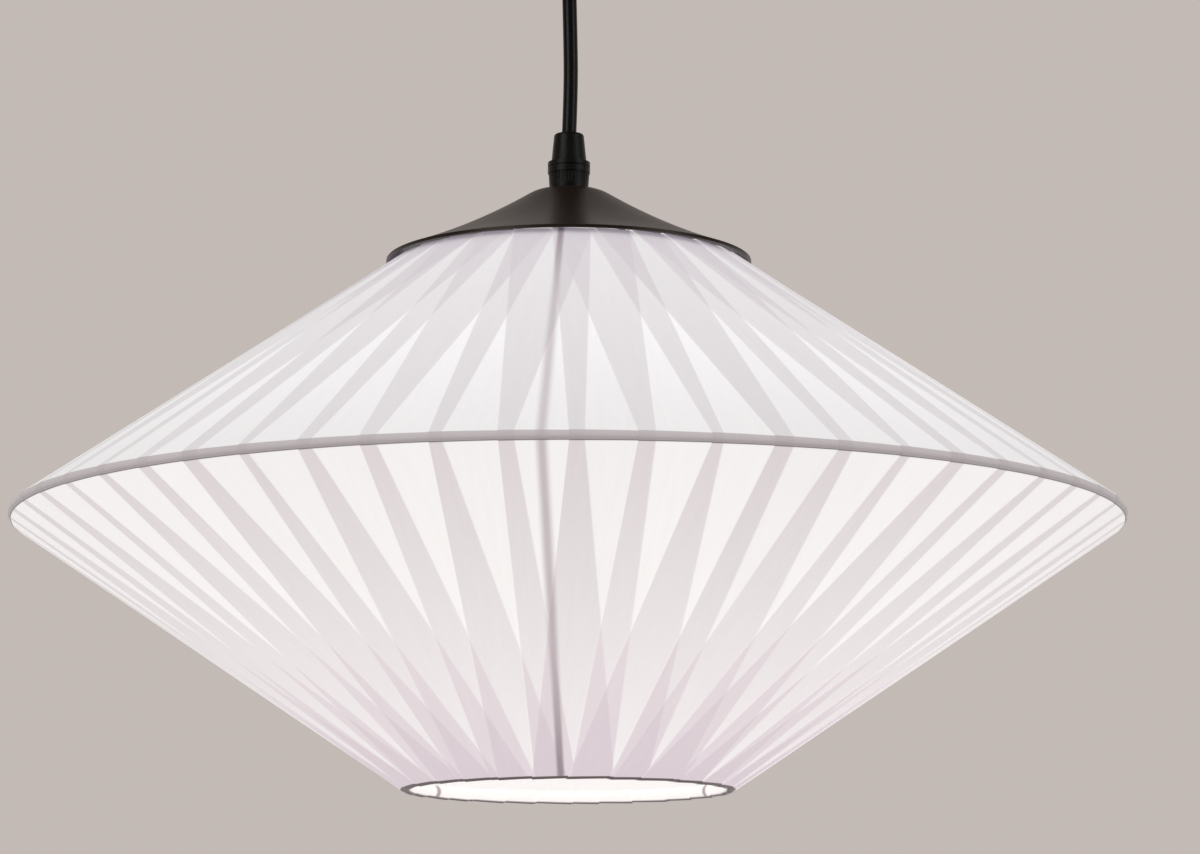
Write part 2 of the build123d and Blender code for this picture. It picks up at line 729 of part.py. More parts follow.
# Lampholder skirt: the threaded lower sleeve, with a ledge inside for the insert
skirt_bore = skirt_radius - skirt_wall
spigot_radius = dome_bore - bore_gap
insert_base_z = dome_base_z - clear_gap
with BuildPart() as lampholder_skirt:
    revolve(
        turned_outline(
            (spigot_radius, dome_base_z + skirt_spigot),
            (spigot_radius, dome_base_z),
            (skirt_radius, dome_base_z - seat_gap),
            (skirt_radius, skirt_base_z),
            (skirt_bore, skirt_base_z),
            (skirt_bore, insert_base_z - seat_gap - skirt_ledge_height),
            (skirt_bore - skirt_ledge, insert_base_z - seat_gap - skirt_ledge_height),
            (skirt_bore - skirt_ledge, insert_base_z - seat_gap),
            (skirt_bore, insert_base_z - seat_gap),
            (skirt_bore, dome_base_z + skirt_spigot),
        ),
        axis=Axis.Z,
    )
lampholder_skirt.part.label = "lampholder_skirt"
export_step(lampholder_skirt.part, "parts/lampholder_skirt.step")

# Lampholder insert: the ceramic block that carries the contacts and the terminals
insert_top_z = insert_base_z + insert_height
boss_base_z = insert_base_z - insert_boss_length
cavity_top_z = boss_base_z + insert_boss_length - clear_gap
with BuildPart() as lampholder_insert:
    with BuildSketch(Plane.XY.offset(insert_base_z)):
        Circle(skirt_bore - bore_gap)
    extrude(amount=insert_height)
    with BuildSketch(Plane.XY.offset(insert_base_z)):
        Circle(insert_boss_radius)
    extrude(amount=-insert_boss_length)
    with BuildSketch(Plane.XY.offset(boss_base_z)):
        Circle(insert_cavity_radius)
    extrude(amount=cavity_top_z - boss_base_z, mode=Mode.SUBTRACT)
lampholder_insert.part.label = "lampholder_insert"
export_step(lampholder_insert.part, "parts/lampholder_insert.step")

# Screw shell: the thin brass sleeve that takes the bulb's cap
shell_top_z = boss_base_z - seat_gap
shell_radius = shell_bore_radius + shell_thickness
with BuildPart() as screw_shell:
    revolve(
        turned_outline(
            (insert_cavity_radius, shell_top_z),
            (shell_radius, shell_top_z),
            (shell_radius, shell_top_z - shell_length),
            (shell_bore_radius, shell_top_z - shell_length),
            (shell_bore_radius, shell_top_z - shell_thickness),
            (insert_cavity_radius, shell_top_z - shell_thickness),
        ),
        axis=Axis.Z,
    )
screw_shell.part.label = "screw_shell"
export_step(screw_shell.part, "parts/screw_shell.step")

# Centre contact: a bent bronze leaf over the bulb's tip
bulb_top_z = shell_top_z + bulb_tip_height + clear_gap
leaf_z = bulb_top_z + clear_gap
with BuildPart() as centre_contact:
    with BuildSketch(Plane.XZ):
        with BuildLine():
            Polyline(
                (contact_post_x, cavity_top_z - seat_gap),
                (contact_post_x, leaf_z),
                (contact_reach, leaf_z),
                (contact_reach, leaf_z + contact_thickness),
                (contact_post_x + contact_thickness, leaf_z + contact_thickness),
                (contact_post_x + contact_thickness, cavity_top_z - seat_gap),
                close=True,
            )
        make_face()
    extrude(amount=contact_width / 2, both=True)
centre_contact.part.label = "centre_contact"
export_step(centre_contact.part, "parts/centre_contact.step")

# Lampholder terminals: two brass blocks on the insert
with BuildPart() as holder_terminals:
    with BuildSketch(Plane.XY.offset(insert_top_z)):
        with GridLocations(2 * holder_terminal_offset, 0, 2, 1):
            Rectangle(holder_terminal_size, holder_terminal_size)
            Circle(terminal_screw_radius + seat_gap, mode=Mode.SUBTRACT)
    extrude(amount=holder_terminal_size)
holder_terminals.part.label = "holder_terminals"
export_step(holder_terminals.part, "parts/holder_terminals.step")

# Lampholder terminal screws
holder_screw_top_z = insert_top_z + holder_terminal_size + drive_depth
with BuildPart() as holder_terminal_screws:
    with BuildSketch(Plane.XY.offset(holder_screw_top_z)):
        with GridLocations(2 * holder_terminal_offset, 0, 2, 1):
            Circle(terminal_screw_radius)
    extrude(amount=-terminal_screw_length)
holder_terminal_screws.part.label = "holder_terminal_screws"
export_step(holder_terminal_screws.part, "parts/holder_terminal_screws.step")

# Earth tag: a ring under the dome's top with a bent tail for the earth lead
tag_base_z = tag_top_z - earth_tag_drop
with BuildPart() as earth_tag:
    with BuildSketch(Plane.XY.offset(tag_top_z)):
        Circle(earth_tag_radius)
        Circle(nipple_radius + bore_gap, mode=Mode.SUBTRACT)
    extrude(amount=-eyelet_thickness)
    with BuildSketch(Plane.XY.offset(tag_top_z)):
        with Locations((0, -earth_tag_radius)):
            Rectangle(tail_width, eyelet_thickness)
    extrude(amount=-earth_tag_drop)
earth_tag.part.label = "earth_tag"
export_step(earth_tag.part, "parts/earth_tag.step")

# Lampholder leads: the cord's three cores, through the nipple to the terminals and the earth tag
lead_start_z = grip_cord_end_z - clear_gap
side_lead_z = insert_top_z + holder_terminal_size / 2
side_lead_x = holder_terminal_offset - holder_terminal_size / 2 - seat_gap
earth_cross_z = nipple_base_z - lead_radius - 2 * clear_gap
holder_lead_routes = {
    "holder_brown_lead": [
        (-lead_side_x, lead_side_y, lead_start_z),
        (-lead_side_x, lead_side_y, side_lead_z),
        (-side_lead_x, lead_side_y, side_lead_z),
    ],
    "holder_blue_lead": [
        (lead_side_x, lead_side_y, lead_start_z),
        (lead_side_x, lead_side_y, side_lead_z),
        (side_lead_x, lead_side_y, side_lead_z),
    ],
    "holder_earth_lead": [
        (0, -lead_circle, lead_start_z),
        (0, -lead_circle, earth_cross_z),
        (0, -earth_tag_radius, earth_cross_z),
        (0, -earth_tag_radius, tag_base_z - seat_gap),
    ],
}
for name, points in holder_lead_routes.items():
    holder_lead = wire_along(points, holder_lead_bend, lead_radius)
    holder_lead.label = name
    export_step(holder_lead, f"parts/{name}.step")

# Spider ring: the flat steel ring that the lampholder's shade ring clamps
with BuildPart() as spider_ring:
    with BuildSketch(Plane.XY.offset(spider_base_z)):
        Circle(spider_ring_radius)
        Circle(skirt_radius + clear_gap, mode=Mode.SUBTRACT)
    extrude(amount=spider_ring_thickness)
spider_ring.part.label = "spider_ring"
export_step(spider_ring.part, "parts/spider_ring.step")

# Shade ring: the threaded plastic ring under the spider, with finger notches
shade_ring_top_z = spider_base_z - seat_gap
with BuildPart() as shade_ring:
    revolve(
        turned_outline(
            (skirt_radius + bore_gap, shade_ring_top_z),
            (shade_ring_radius, shade_ring_top_z),
            (shade_ring_radius, shade_ring_top_z - shade_ring_flange),
            (shade_ring_collar, shade_ring_top_z - shade_ring_flange),
            (shade_ring_collar, shade_ring_top_z - shade_ring_height),
            (skirt_radius + bore_gap, shade_ring_top_z - shade_ring_height),
        ),
        axis=Axis.Z,
    )
    with BuildSketch(Plane.XY.offset(shade_ring_top_z - shade_ring_height)):
        with PolarLocations(shade_ring_collar + shade_ring_notch_radius / 2, shade_ring_notches):
            Circle(shade_ring_notch_radius)
    extrude(amount=shade_ring_height - shade_ring_flange - clear_gap, mode=Mode.SUBTRACT)
shade_ring.part.label = "shade_ring"
export_step(shade_ring.part, "parts/shade_ring.step")

# Frame rings: three welded rings of round steel wire
frame_rings = {
    "top_ring": (top_ring_radius, top_ring_z, small_wire_radius),
    "equator_ring": (equator_ring_radius, equator_z, equator_wire_radius),
    "bottom_ring": (bottom_ring_radius, bottom_ring_z, small_wire_radius),
}
for name, (ring_radius, ring_z, wire_radius) in frame_rings.items():
    with BuildPart() as frame_ring:
        with BuildSketch(Plane.XZ):
            with Locations((ring_radius, ring_z)):
                Circle(wire_radius)
        revolve(axis=Axis.Z)
    frame_ring.part.label = name
    export_step(frame_ring.part, f"parts/{name}.step")

# Spider arms: straight wires from the spider ring down to the inside of the top ring
arm_azimuth = first_rib_azimuth + 180 / frame_sides
arm_start = (spider_ring_radius + small_wire_radius / 2, spider_base_z + spider_ring_thickness / 2)
arm_angle = atan2(top_ring_z - arm_start[1], top_ring_radius - arm_start[0])
arm_to_ring = hypot(top_ring_z - arm_start[1], top_ring_radius - arm_start[0])
with BuildPart() as spider_arm:
    with BuildSketch(
        Plane(origin=polar_point(arm_start[0], 0, arm_start[1]), z_dir=(0, -cos(arm_angle), sin(arm_angle)))
    ):
        Circle(small_wire_radius)
    extrude(amount=arm_to_ring - small_wire_radius - bore_gap)
with BuildPart() as spider_arms:
    with PolarLocations(0, frame_sides, start_angle=arm_azimuth):
        add(spider_arm.part)
spider_arms.part.label = "spider_arms"
export_step(spider_arms.part, "parts/spider_arms.step")

# Ribs: straight wires inside the rings, mitred in pairs at the equator ring
# Ribbon: one long ribbon in straight passes over the rings, here in layers of every fourth pass. Passes of
# one layer lie side by side round the mouth, and so the solids' passes are a little narrower than the ribbon.
rib_offset = equator_wire_radius + small_wire_radius + seat_gap
pass_angle = 360 / ribbon_passes
mouth_slope = atan2(bottom_ring_drop, equator_ring_radius - bottom_ring_radius)
mouth_radius = bottom_ring_radius + ribbon_offset * sin(mouth_slope)
mouth_room = 2 * mouth_radius * sin(radians(pass_angle * ribbon_layers / 2))
pass_width = min(ribbon_width, mouth_room - ribbon_layer_gap)
shade_halves = {"upper": (top_ring_radius, top_ring_z), "lower": (bottom_ring_radius, bottom_ring_z)}
for half, (ring_radius, ring_z) in shade_halves.items():
    side = 1 if ring_z > equator_z else -1
    reach = equator_ring_radius - ring_radius
    rise = abs(ring_z - equator_z)
    slope_length = hypot(reach, rise)
    slope = atan2(rise, reach)

    # A point on the slope: along it from the equator ring's centre, and outwards from its line
    def slope_point(along, outwards):
        radius = equator_ring_radius - along * cos(slope) + outwards * sin(slope)
        return (radius, equator_z + side * (along * sin(slope) + outwards * cos(slope)))

    rib_foot = slope_point(slope_length, -rib_offset)
    with BuildPart() as rib:
        with BuildSketch(
            Plane(
                origin=polar_point(rib_foot[0], 0, rib_foot[1]),
                z_dir=(0, -cos(slope), -side * sin(slope)),
            )
        ):
            Circle(small_wire_radius)
        extrude(amount=slope_length + rib_offset)
        split(
            bisect_by=Plane.XY.offset(equator_z + side * seat_gap),
            keep=Keep.TOP if side > 0 else Keep.BOTTOM,
        )
    with BuildPart() as ribs:
        with PolarLocations(0, frame_sides, start_angle=first_rib_azimuth):
            add(rib.part)
    ribs.part.label = f"{half}_ribs"
    export_step(ribs.part, f"parts/{half}_ribs.step")

    for layer in range(ribbon_layers):
        inner = ribbon_offset + layer * layer_pitch
        outer = inner + ribbon_thickness
        bend = side * (90 - degrees(slope))
        with BuildSketch(Plane.XZ) as ribbon_section:
            with BuildLine():
                Line((equator_ring_radius + inner, equator_z), (equator_ring_radius + outer, equator_z))
                CenterArc((equator_ring_radius, equator_z), outer, 0, bend)
                Line(slope_point(0, outer), slope_point(slope_length, outer))
                Line(slope_point(slope_length, outer), slope_point(slope_length, inner))
                Line(slope_point(slope_length, inner), slope_point(0, inner))
                CenterArc((equator_ring_radius, equator_z), inner, bend, -bend)
            make_face()

        # Passes cross the equator evenly and meet in pairs at the small rings
        lean = pass_angle / 2 if layer % 2 == 0 else -pass_angle / 2
        equator_end = polar_point(shade_radius, first_rib_azimuth + layer * pass_angle, 0)
        ring_azimuth = first_rib_azimuth + layer * pass_angle - side * lean
        ring_end = polar_point(ring_radius, ring_azimuth, 0)
        run = Vector(*ring_end) - Vector(*equator_end)
        middle = (Vector(*ring_end) + Vector(*equator_end)) * 0.5
        with BuildPart() as ribbon_pass:
            revolve(ribbon_section.sketch, axis=Axis.Z)
            with BuildSketch(
                Plane(origin=(middle.X, middle.Y, bottom_ring_z - pass_width), x_dir=run, z_dir=(0, 0, 1))
            ):
                Rectangle(run.length + pass_width, pass_width)
            extrude(amount=top_ring_z - bottom_ring_z + 2 * pass_width, mode=Mode.INTERSECT)
        with BuildPart() as ribbon_layer:
            with PolarLocations(0, ribbon_passes // ribbon_layers):
                add(ribbon_pass.part)
        ribbon_layer.part.label = f"ribbon_{half}_{layer + 1}"
        export_step(ribbon_layer.part, f"parts/ribbon_{half}_{layer + 1}.step")

# Bulb tip contact and its insulator
bulb_tip_base_z = bulb_top_z - bulb_tip_height
bulb_cap_top_z = bulb_tip_base_z - bulb_insulator_height
bulb_cap_base_z = bulb_top_z - bulb_cap_length
with BuildPart() as bulb_tip_contact:
    with BuildSketch(Plane.XY.offset(bulb_tip_base_z)):
        Circle(bulb_tip_radius)
    extrude(amount=bulb_tip_height)
    fillet(bulb_tip_contact.edges().group_by(Axis.Z)[-1], tip_round)
bulb_tip_contact.part.label = "bulb_tip_contact"
export_step(bulb_tip_contact.part, "parts/bulb_tip_contact.step")

with BuildPart() as bulb_insulator:
    revolve(
        turned_outline(
            (0, bulb_tip_base_z),
            (bulb_tip_radius, bulb_tip_base_z),
            (bulb_insulator_radius, bulb_cap_top_z),
            (0, bulb_cap_top_z),
        ),
        axis=Axis.Z,
    )
bulb_insulator.part.label = "bulb_insulator"
export_step(bulb_insulator.part, "parts/bulb_insulator.step")

# Bulb cap: the thin plated screw cap
with BuildPart() as bulb_cap:
    revolve(
        turned_outline(
            (bulb_insulator_radius - 2 * bulb_cap_wall, bulb_cap_top_z - seat_gap),
            (bulb_insulator_radius, bulb_cap_top_z - seat_gap),
            (bulb_cap_radius, bulb_cap_top_z - bulb_cap_radius + bulb_insulator_radius),
            (bulb_cap_radius, bulb_cap_base_z),
            (bulb_cap_radius - bulb_cap_wall, bulb_cap_base_z),
            (bulb_cap_radius - bulb_cap_wall, bulb_cap_top_z - bulb_cap_radius + bulb_insulator_radius),
        ),
        axis=Axis.Z,
    )
bulb_cap.part.label = "bulb_cap"
export_step(bulb_cap.part, "parts/bulb_cap.step")

# Bulb neck: the white plastic housing between the cap and the globe
globe_centre_z = bulb_top_z - bulb_length + bulb_radius
neck_joint_z = globe_centre_z + neck_joint_rise
neck_joint_radius = sqrt(bulb_radius**2 - neck_joint_rise**2)
board_base_z = neck_joint_z + board_inset
board_seat_z = board_base_z + board_thickness + seat_gap
neck_plug_radius = bulb_cap_radius - bulb_cap_wall - bore_gap
with BuildPart() as bulb_neck:
    revolve(
        turned_outline(
            (0, board_seat_z + neck_wall),
            (neck_plug_radius - neck_wall, bulb_cap_base_z + neck_plug_length),
            (neck_plug_radius, bulb_cap_base_z + neck_plug_length),
            (neck_plug_radius, bulb_cap_base_z - seat_gap),
            (neck_top_radius, bulb_cap_base_z - seat_gap),
            (neck_joint_radius, neck_joint_z + seat_gap),
            (neck_joint_radius - neck_wall, neck_joint_z + seat_gap),
            (board_radius + neck_wall, board_seat_z),
            (0, board_seat_z),
        ),
        axis=Axis.Z,
    )
bulb_neck.part.label = "bulb_neck"
export_step(bulb_neck.part, "parts/bulb_neck.step")

# Light board: an aluminium disc with a ring of light chips, under the neck's floor
with BuildPart() as light_board:
    with BuildSketch(Plane.XY.offset(board_base_z)):
        Circle(board_radius)
    extrude(amount=board_thickness)
light_board.part.label = "light_board"
export_step(light_board.part, "parts/light_board.step")

with BuildPart() as light_chips:
    with BuildSketch(Plane.XY.offset(board_base_z)):
        with PolarLocations(chip_circle, chip_count):
            Rectangle(chip_size, chip_size)
    extrude(amount=-chip_height)
light_chips.part.label = "light_chips"
export_step(light_chips.part, "parts/light_chips.step")

# Bulb globe: the opal glass
globe_bore = bulb_radius - globe_wall
outer_joint_angle = degrees(asin(neck_joint_rise / bulb_radius))
inner_joint_angle = degrees(asin(neck_joint_rise / globe_bore))
with BuildPart() as bulb_globe:
    with BuildSketch(Plane.XZ):
        with BuildLine():
            outer_arc = CenterArc((0, globe_centre_z), bulb_radius, -90, 90 + outer_joint_angle)
            inner_arc = CenterArc((0, globe_centre_z), globe_bore, -90, 90 + inner_joint_angle)
            Line(outer_arc @ 0, inner_arc @ 0)
            Line(outer_arc @ 1, inner_arc @ 1)
        make_face()
    revolve(axis=Axis.Z)
bulb_globe.part.label = "bulb_globe"
export_step(bulb_globe.part, "parts/bulb_globe.step")
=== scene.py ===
import random
from math import atan2, cos, hypot, pi, radians, sin

import bpy
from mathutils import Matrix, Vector


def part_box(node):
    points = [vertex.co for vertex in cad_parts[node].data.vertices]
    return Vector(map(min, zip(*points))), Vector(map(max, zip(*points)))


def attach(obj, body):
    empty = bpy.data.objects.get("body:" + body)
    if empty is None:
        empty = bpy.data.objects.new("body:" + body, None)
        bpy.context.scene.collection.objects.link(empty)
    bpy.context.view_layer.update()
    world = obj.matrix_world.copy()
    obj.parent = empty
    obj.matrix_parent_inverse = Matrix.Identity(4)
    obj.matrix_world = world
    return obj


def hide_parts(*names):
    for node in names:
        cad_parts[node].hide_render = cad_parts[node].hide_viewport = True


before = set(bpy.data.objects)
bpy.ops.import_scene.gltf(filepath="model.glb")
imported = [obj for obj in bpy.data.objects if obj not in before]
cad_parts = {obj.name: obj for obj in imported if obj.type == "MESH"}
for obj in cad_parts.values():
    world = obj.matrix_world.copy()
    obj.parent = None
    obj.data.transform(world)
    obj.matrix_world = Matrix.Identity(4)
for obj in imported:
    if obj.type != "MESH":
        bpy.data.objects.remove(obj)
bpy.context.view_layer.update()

# Camera: the photograph was taken a little to the right of the lamp's axis and from below the shade's
# middle, so it looks up at the lamp's underside and at the mouth of the shade.
eye = Vector((0.0141, -1.8549, -0.5446))
camera_pitch = radians(90 + 9.405)
camera_lens = 125.5
bpy.ops.object.camera_add(location=eye, rotation=(camera_pitch, 0, 0))
camera = bpy.context.object
camera.name = "camera"
camera.data.lens = camera_lens
camera.data.clip_start = 0.01
bpy.context.scene.camera = camera
bpy.context.scene.view_settings.view_transform = "Standard"

# Light and room: even light from a pale room, one large soft lamp high on the left and a weaker one on the
# right. The background's tone is seen only directly, in gloss and through glass, and in gloss it fades upwards
# and towards the viewer. The floor is far below, so that the lamp can be looked at from underneath.
wall_tone = (0.545, 0.492, 0.462, 1)
room_light = (1.0, 0.985, 0.975, 1)
room_strength = 0.78
wall_by_depth = (-0.3, 0.9, 0.12, 1.0)
wall_by_height = (0.1, 0.9, 1.0, 0.25)
floor_height = -6.0
floor_size = 30.0
floor_tone = (0.80, 0.78, 0.76, 1)
soft_lamps = {
    "soft_lamp_left": ((-1.9, -2.0, 0.9), 1.6, 14.0),
    "soft_lamp_right": ((2.2, -1.2, 0.5), 1.4, 7.0),
}
lamp_target = Vector((0, 0, -0.25))

world = bpy.data.worlds.new("room")
bpy.context.scene.world = world
world.use_nodes = True
room = world.node_tree
room.nodes.clear()
world_output = room.nodes.new("ShaderNodeOutputWorld")
light_path = room.nodes.new("ShaderNodeLightPath")
seen_or_gloss = room.nodes.new("ShaderNodeMath")
seen_or_gloss.operation = "MAXIMUM"
shows_wall = room.nodes.new("ShaderNodeMath")
shows_wall.operation = "MAXIMUM"
room.links.new(light_path.outputs["Is Camera Ray"], seen_or_gloss.inputs[0])
room.links.new(light_path.outputs["Is Glossy Ray"], seen_or_gloss.inputs[1])
room.links.new(seen_or_gloss.outputs[0], shows_wall.inputs[0])
room.links.new(light_path.outputs["Is Transmission Ray"], shows_wall.inputs[1])
even_light = room.nodes.new("ShaderNodeBackground")
even_light.inputs["Color"].default_value = room_light
even_light.inputs["Strength"].default_value = room_strength
wall = room.nodes.new("ShaderNodeBackground")
wall.inputs["Color"].default_value = wall_tone
wall.inputs["Strength"].default_value = 1.0
ray_place = room.nodes.new("ShaderNodeTexCoord")
ray_parts = room.nodes.new("ShaderNodeSeparateXYZ")
room.links.new(ray_place.outputs["Generated"], ray_parts.inputs[0])
towards_wall = room.nodes.new("ShaderNodeMapRange")
for socket, value in enumerate(wall_by_depth, start=1):
    towards_wall.inputs[socket].default_value = value
room.links.new(ray_parts.outputs[1], towards_wall.inputs[0])
upwards = room.nodes.new("ShaderNodeMapRange")
for socket, value in enumerate(wall_by_height, start=1):
    upwards.inputs[socket].default_value = value
room.links.new(ray_parts.outputs[2], upwards.inputs[0])
wall_share = room.nodes.new("ShaderNodeMath")
wall_share.operation = "MULTIPLY"
room.links.new(towards_wall.outputs[0], wall_share.inputs[0])
room.links.new(upwards.outputs[0], wall_share.inputs[1])
wall_in_gloss = room.nodes.new("ShaderNodeMix")
room.links.new(light_path.outputs["Is Glossy Ray"], wall_in_gloss.inputs[0])
wall_in_gloss.inputs[2].default_value = 1.0
room.links.new(wall_share.outputs[0], wall_in_gloss.inputs[3])
room.links.new(wall_in_gloss.outputs[0], wall.inputs["Strength"])
wall_or_light = room.nodes.new("ShaderNodeMixShader")
room.links.new(shows_wall.outputs[0], wall_or_light.inputs["Fac"])
room.links.new(even_light.outputs[0], wall_or_light.inputs[1])
room.links.new(wall.outputs[0], wall_or_light.inputs[2])
room.links.new(wall_or_light.outputs[0], world_output.inputs["Surface"])

for name, (place, size, power) in soft_lamps.items():
    aim = (lamp_target - Vector(place)).to_track_quat("-Z", "Y").to_euler()
    bpy.ops.object.light_add(type="AREA", location=place, rotation=aim)
    soft_lamp = bpy.context.object
    soft_lamp.name = name
    soft_lamp.data.size = size
    soft_lamp.data.energy = power

bpy.ops.mesh.primitive_plane_add(size=floor_size, location=(0, 0, floor_height))
floor = bpy.context.object
floor.name = "floor"
floor_paint = bpy.data.materials.new("floor_paint")
floor_paint.use_nodes = True
floor_shader = floor_paint.node_tree.nodes["Principled BSDF"]
floor_shader.inputs["Base Color"].default_value = floor_tone
floor_shader.inputs["Roughness"].default_value = 0.8
floor.data.materials.append(floor_paint)


# Cord: a round black cord with a glossy sheath, 6.6 mm thick. It carries the lamp, so it hangs almost
# straight from the rose's relief to the cord grip, with a bow of a millimetre to the right.
cord_points = [(0, 0, -0.033), (0.0006, 0, -0.057), (0.0009, 0, -0.081), (0, 0, -0.104)]
cord_radius = 0.0033


# Adds a shader node, sets its settings, and links or fills the sockets named in sockets
def add_node(tree, kind, sockets=None, **settings):
    made = tree.nodes.new(kind)
    for setting, value in settings.items():
        setattr(made, setting, value)
    for socket, value in (sockets or {}).items():
        if isinstance(value, bpy.types.NodeSocket):
            tree.links.new(value, made.inputs[socket])
        else:
            made.inputs[socket].default_value = value
    return made


# A node group with named inputs, given as name: (kind, value), and named outputs, given as name: kind
def new_group(name, inputs, outputs):
    group = bpy.data.node_groups.new(name, "ShaderNodeTree")
    for label, (kind, value) in inputs.items():
        socket = group.interface.new_socket(label, in_out="INPUT", socket_type="NodeSocket" + kind)
        socket.default_value = value
    for label, kind in outputs.items():
        group.interface.new_socket(label, in_out="OUTPUT", socket_type="NodeSocket" + kind)
    return group, group.nodes.new("NodeGroupInput"), group.nodes.new("NodeGroupOutput")


# Cloudy tone, uneven gloss and a fine grain, which every moulded, painted or plated surface here has
grain_group, grain_in, grain_out = new_group(
    "grain",
    {
        "Color": ("Color", (0.5, 0.5, 0.5, 1)),
        "Tone Spread": ("Float", 0.1),
        "Roughness": ("Float", 0.4),
        "Gloss Spread": ("Float", 0.1),
        "Cloud Scale": ("Float", 60.0),
        "Grain Scale": ("Float", 2500.0),
    },
    {"Color": "Color", "Roughness": "Float", "Height": "Float"},
)
place = add_node(grain_group, "ShaderNodeTexCoord").outputs["Object"]
clouds = add_node(
    grain_group,
    "ShaderNodeTexNoise",
    {"Vector": place, "Scale": grain_in.outputs["Cloud Scale"], "Detail": 4.0},
)
grain = add_node(
    grain_group,
    "ShaderNodeTexNoise",
    {"Vector": place, "Scale": grain_in.outputs["Grain Scale"], "Detail": 2.0},
)
cloud_shift = add_node(
    grain_group, "ShaderNodeMath", {0: clouds.outputs["Fac"], 1: 0.5}, operation="SUBTRACT"
).outputs[0]
tone = add_node(
    grain_group,
    "ShaderNodeMath",
    {0: cloud_shift, 1: grain_in.outputs["Tone Spread"], 2: 1.0},
    operation="MULTIPLY_ADD",
).outputs[0]
toned = add_node(
    grain_group, "ShaderNodeVectorMath", {0: grain_in.outputs["Color"], "Scale": tone}, operation="SCALE"
).outputs[0]
gloss = add_node(
    grain_group,
    "ShaderNodeMath",
    {0: cloud_shift, 1: grain_in.outputs["Gloss Spread"], 2: grain_in.outputs["Roughness"]},
    operation="MULTIPLY_ADD",
).outputs[0]
grain_group.links.new(toned, grain_out.inputs["Color"])
grain_group.links.new(gloss, grain_out.inputs["Roughness"])
grain_group.links.new(grain.outputs["Fac"], grain_out.inputs["Height"])


# A material of one finish: its tone and gloss vary a little, and its grain is a slight bump
def finish_of(name, color, roughness, bump=0.1, metallic=0.0, tone_spread=0.15, gloss_spread=0.15,
              cloud_scale=60.0, grain_scale=2500.0, coat=0.0, specular=0.5):
    material = bpy.data.materials.new(name)
    material.use_nodes = True
    tree = material.node_tree
    surface = add_node(tree, "ShaderNodeGroup", node_tree=grain_group)
    surface.inputs["Color"].default_value = (*color, 1)
    surface.inputs["Tone Spread"].default_value = tone_spread
    surface.inputs["Roughness"].default_value = roughness
    surface.inputs["Gloss Spread"].default_value = gloss_spread
    surface.inputs["Cloud Scale"].default_value = cloud_scale
    surface.inputs["Grain Scale"].default_value = grain_scale
    relief = add_node(
        tree,
        "ShaderNodeBump",
        {"Height": surface.outputs["Height"], "Strength": bump, "Distance": 0.0002},
    )
    shader = tree.nodes["Principled BSDF"]
    shader.inputs["Metallic"].default_value = metallic
    shader.inputs["Coat Weight"].default_value = coat
    shader.inputs["Coat Roughness"].default_value = 0.12
    shader.inputs["Specular IOR Level"].default_value = specular
    tree.links.new(surface.outputs["Color"], shader.inputs["Base Color"])
    tree.links.new(surface.outputs["Roughness"], shader.inputs["Roughness"])
    tree.links.new(relief.outputs["Normal"], shader.inputs["Normal"])
    return material


# Gives the nodes of the frame their finish
def dress(material, *names):
    for name in names:
        node_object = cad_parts[name]
        node_object.data.materials.clear()
        node_object.data.materials.append(material)


cord_sheath = finish_of(
    "cord_sheath", (0.0045, 0.0038, 0.0035), 0.26, bump=0.25, tone_spread=0.3, cloud_scale=45.0,
    grain_scale=900.0, specular=0.27
)
bpy.ops.object.select_all(action="DESELECT")
cord_curve = bpy.data.curves.new("cord_flex", "CURVE")
cord_curve.dimensions = "3D"
cord_curve.bevel_depth = cord_radius
cord_curve.bevel_resolution = 8
cord_curve.resolution_u = 16
cord_curve.use_fill_caps = True
cord_line = cord_curve.splines.new("NURBS")
cord_line.points.add(len(cord_points) - 1)
for point, place in zip(cord_line.points, cord_points):
    point.co = (*place, 1)
cord_line.order_u = 3
cord_line.use_endpoint_u = True
cord_flex = bpy.data.objects.new("cord_flex", cord_curve)
bpy.context.collection.objects.link(cord_flex)
cord_curve.materials.append(cord_sheath)
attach(cord_flex, "cord")
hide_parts("cord")
dress(cord_sheath, "rose_cord_end", "grip_cord_end")

# Ribbon: one long translucent woven ribbon, 34 mm wide, wound zigzag over the frame in 56 passes. Each pass
# runs straight from the upper ring over the equator ring to the mouth ring, turns round the wire there and
# comes back as the next pass, which lies partly over the one before. Its layers show in a painted glow that
# stands in for the bulb's light from inside.
ribbon_width = 0.034
ribbon_thickness = 0.00006
pass_count = 56
piece_count = 4
first_azimuth = radians(-2)
equator_tilt, ring_tilt = 0.008, 0.027
ribbon_lift = 0.000225
ribbon_offset = 0.0025
wrap_end = radians(205)
equator_wobble = radians(0.3)
ring_wobble = radians(1.7)
wobble = random.Random(11)


# A wire ring of the frame: the radius and height of its wire's centre
def wire_ring(name):
    low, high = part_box(name)
    wire_radius = (high[2] - low[2]) / 2
    return (high[0] - low[0]) / 2 - wire_radius, (high[2] + low[2]) / 2


equator_radius, equator_height = wire_ring("equator_ring")
top_radius, top_height = wire_ring("top_ring")
mouth_radius, mouth_height = wire_ring("bottom_ring")


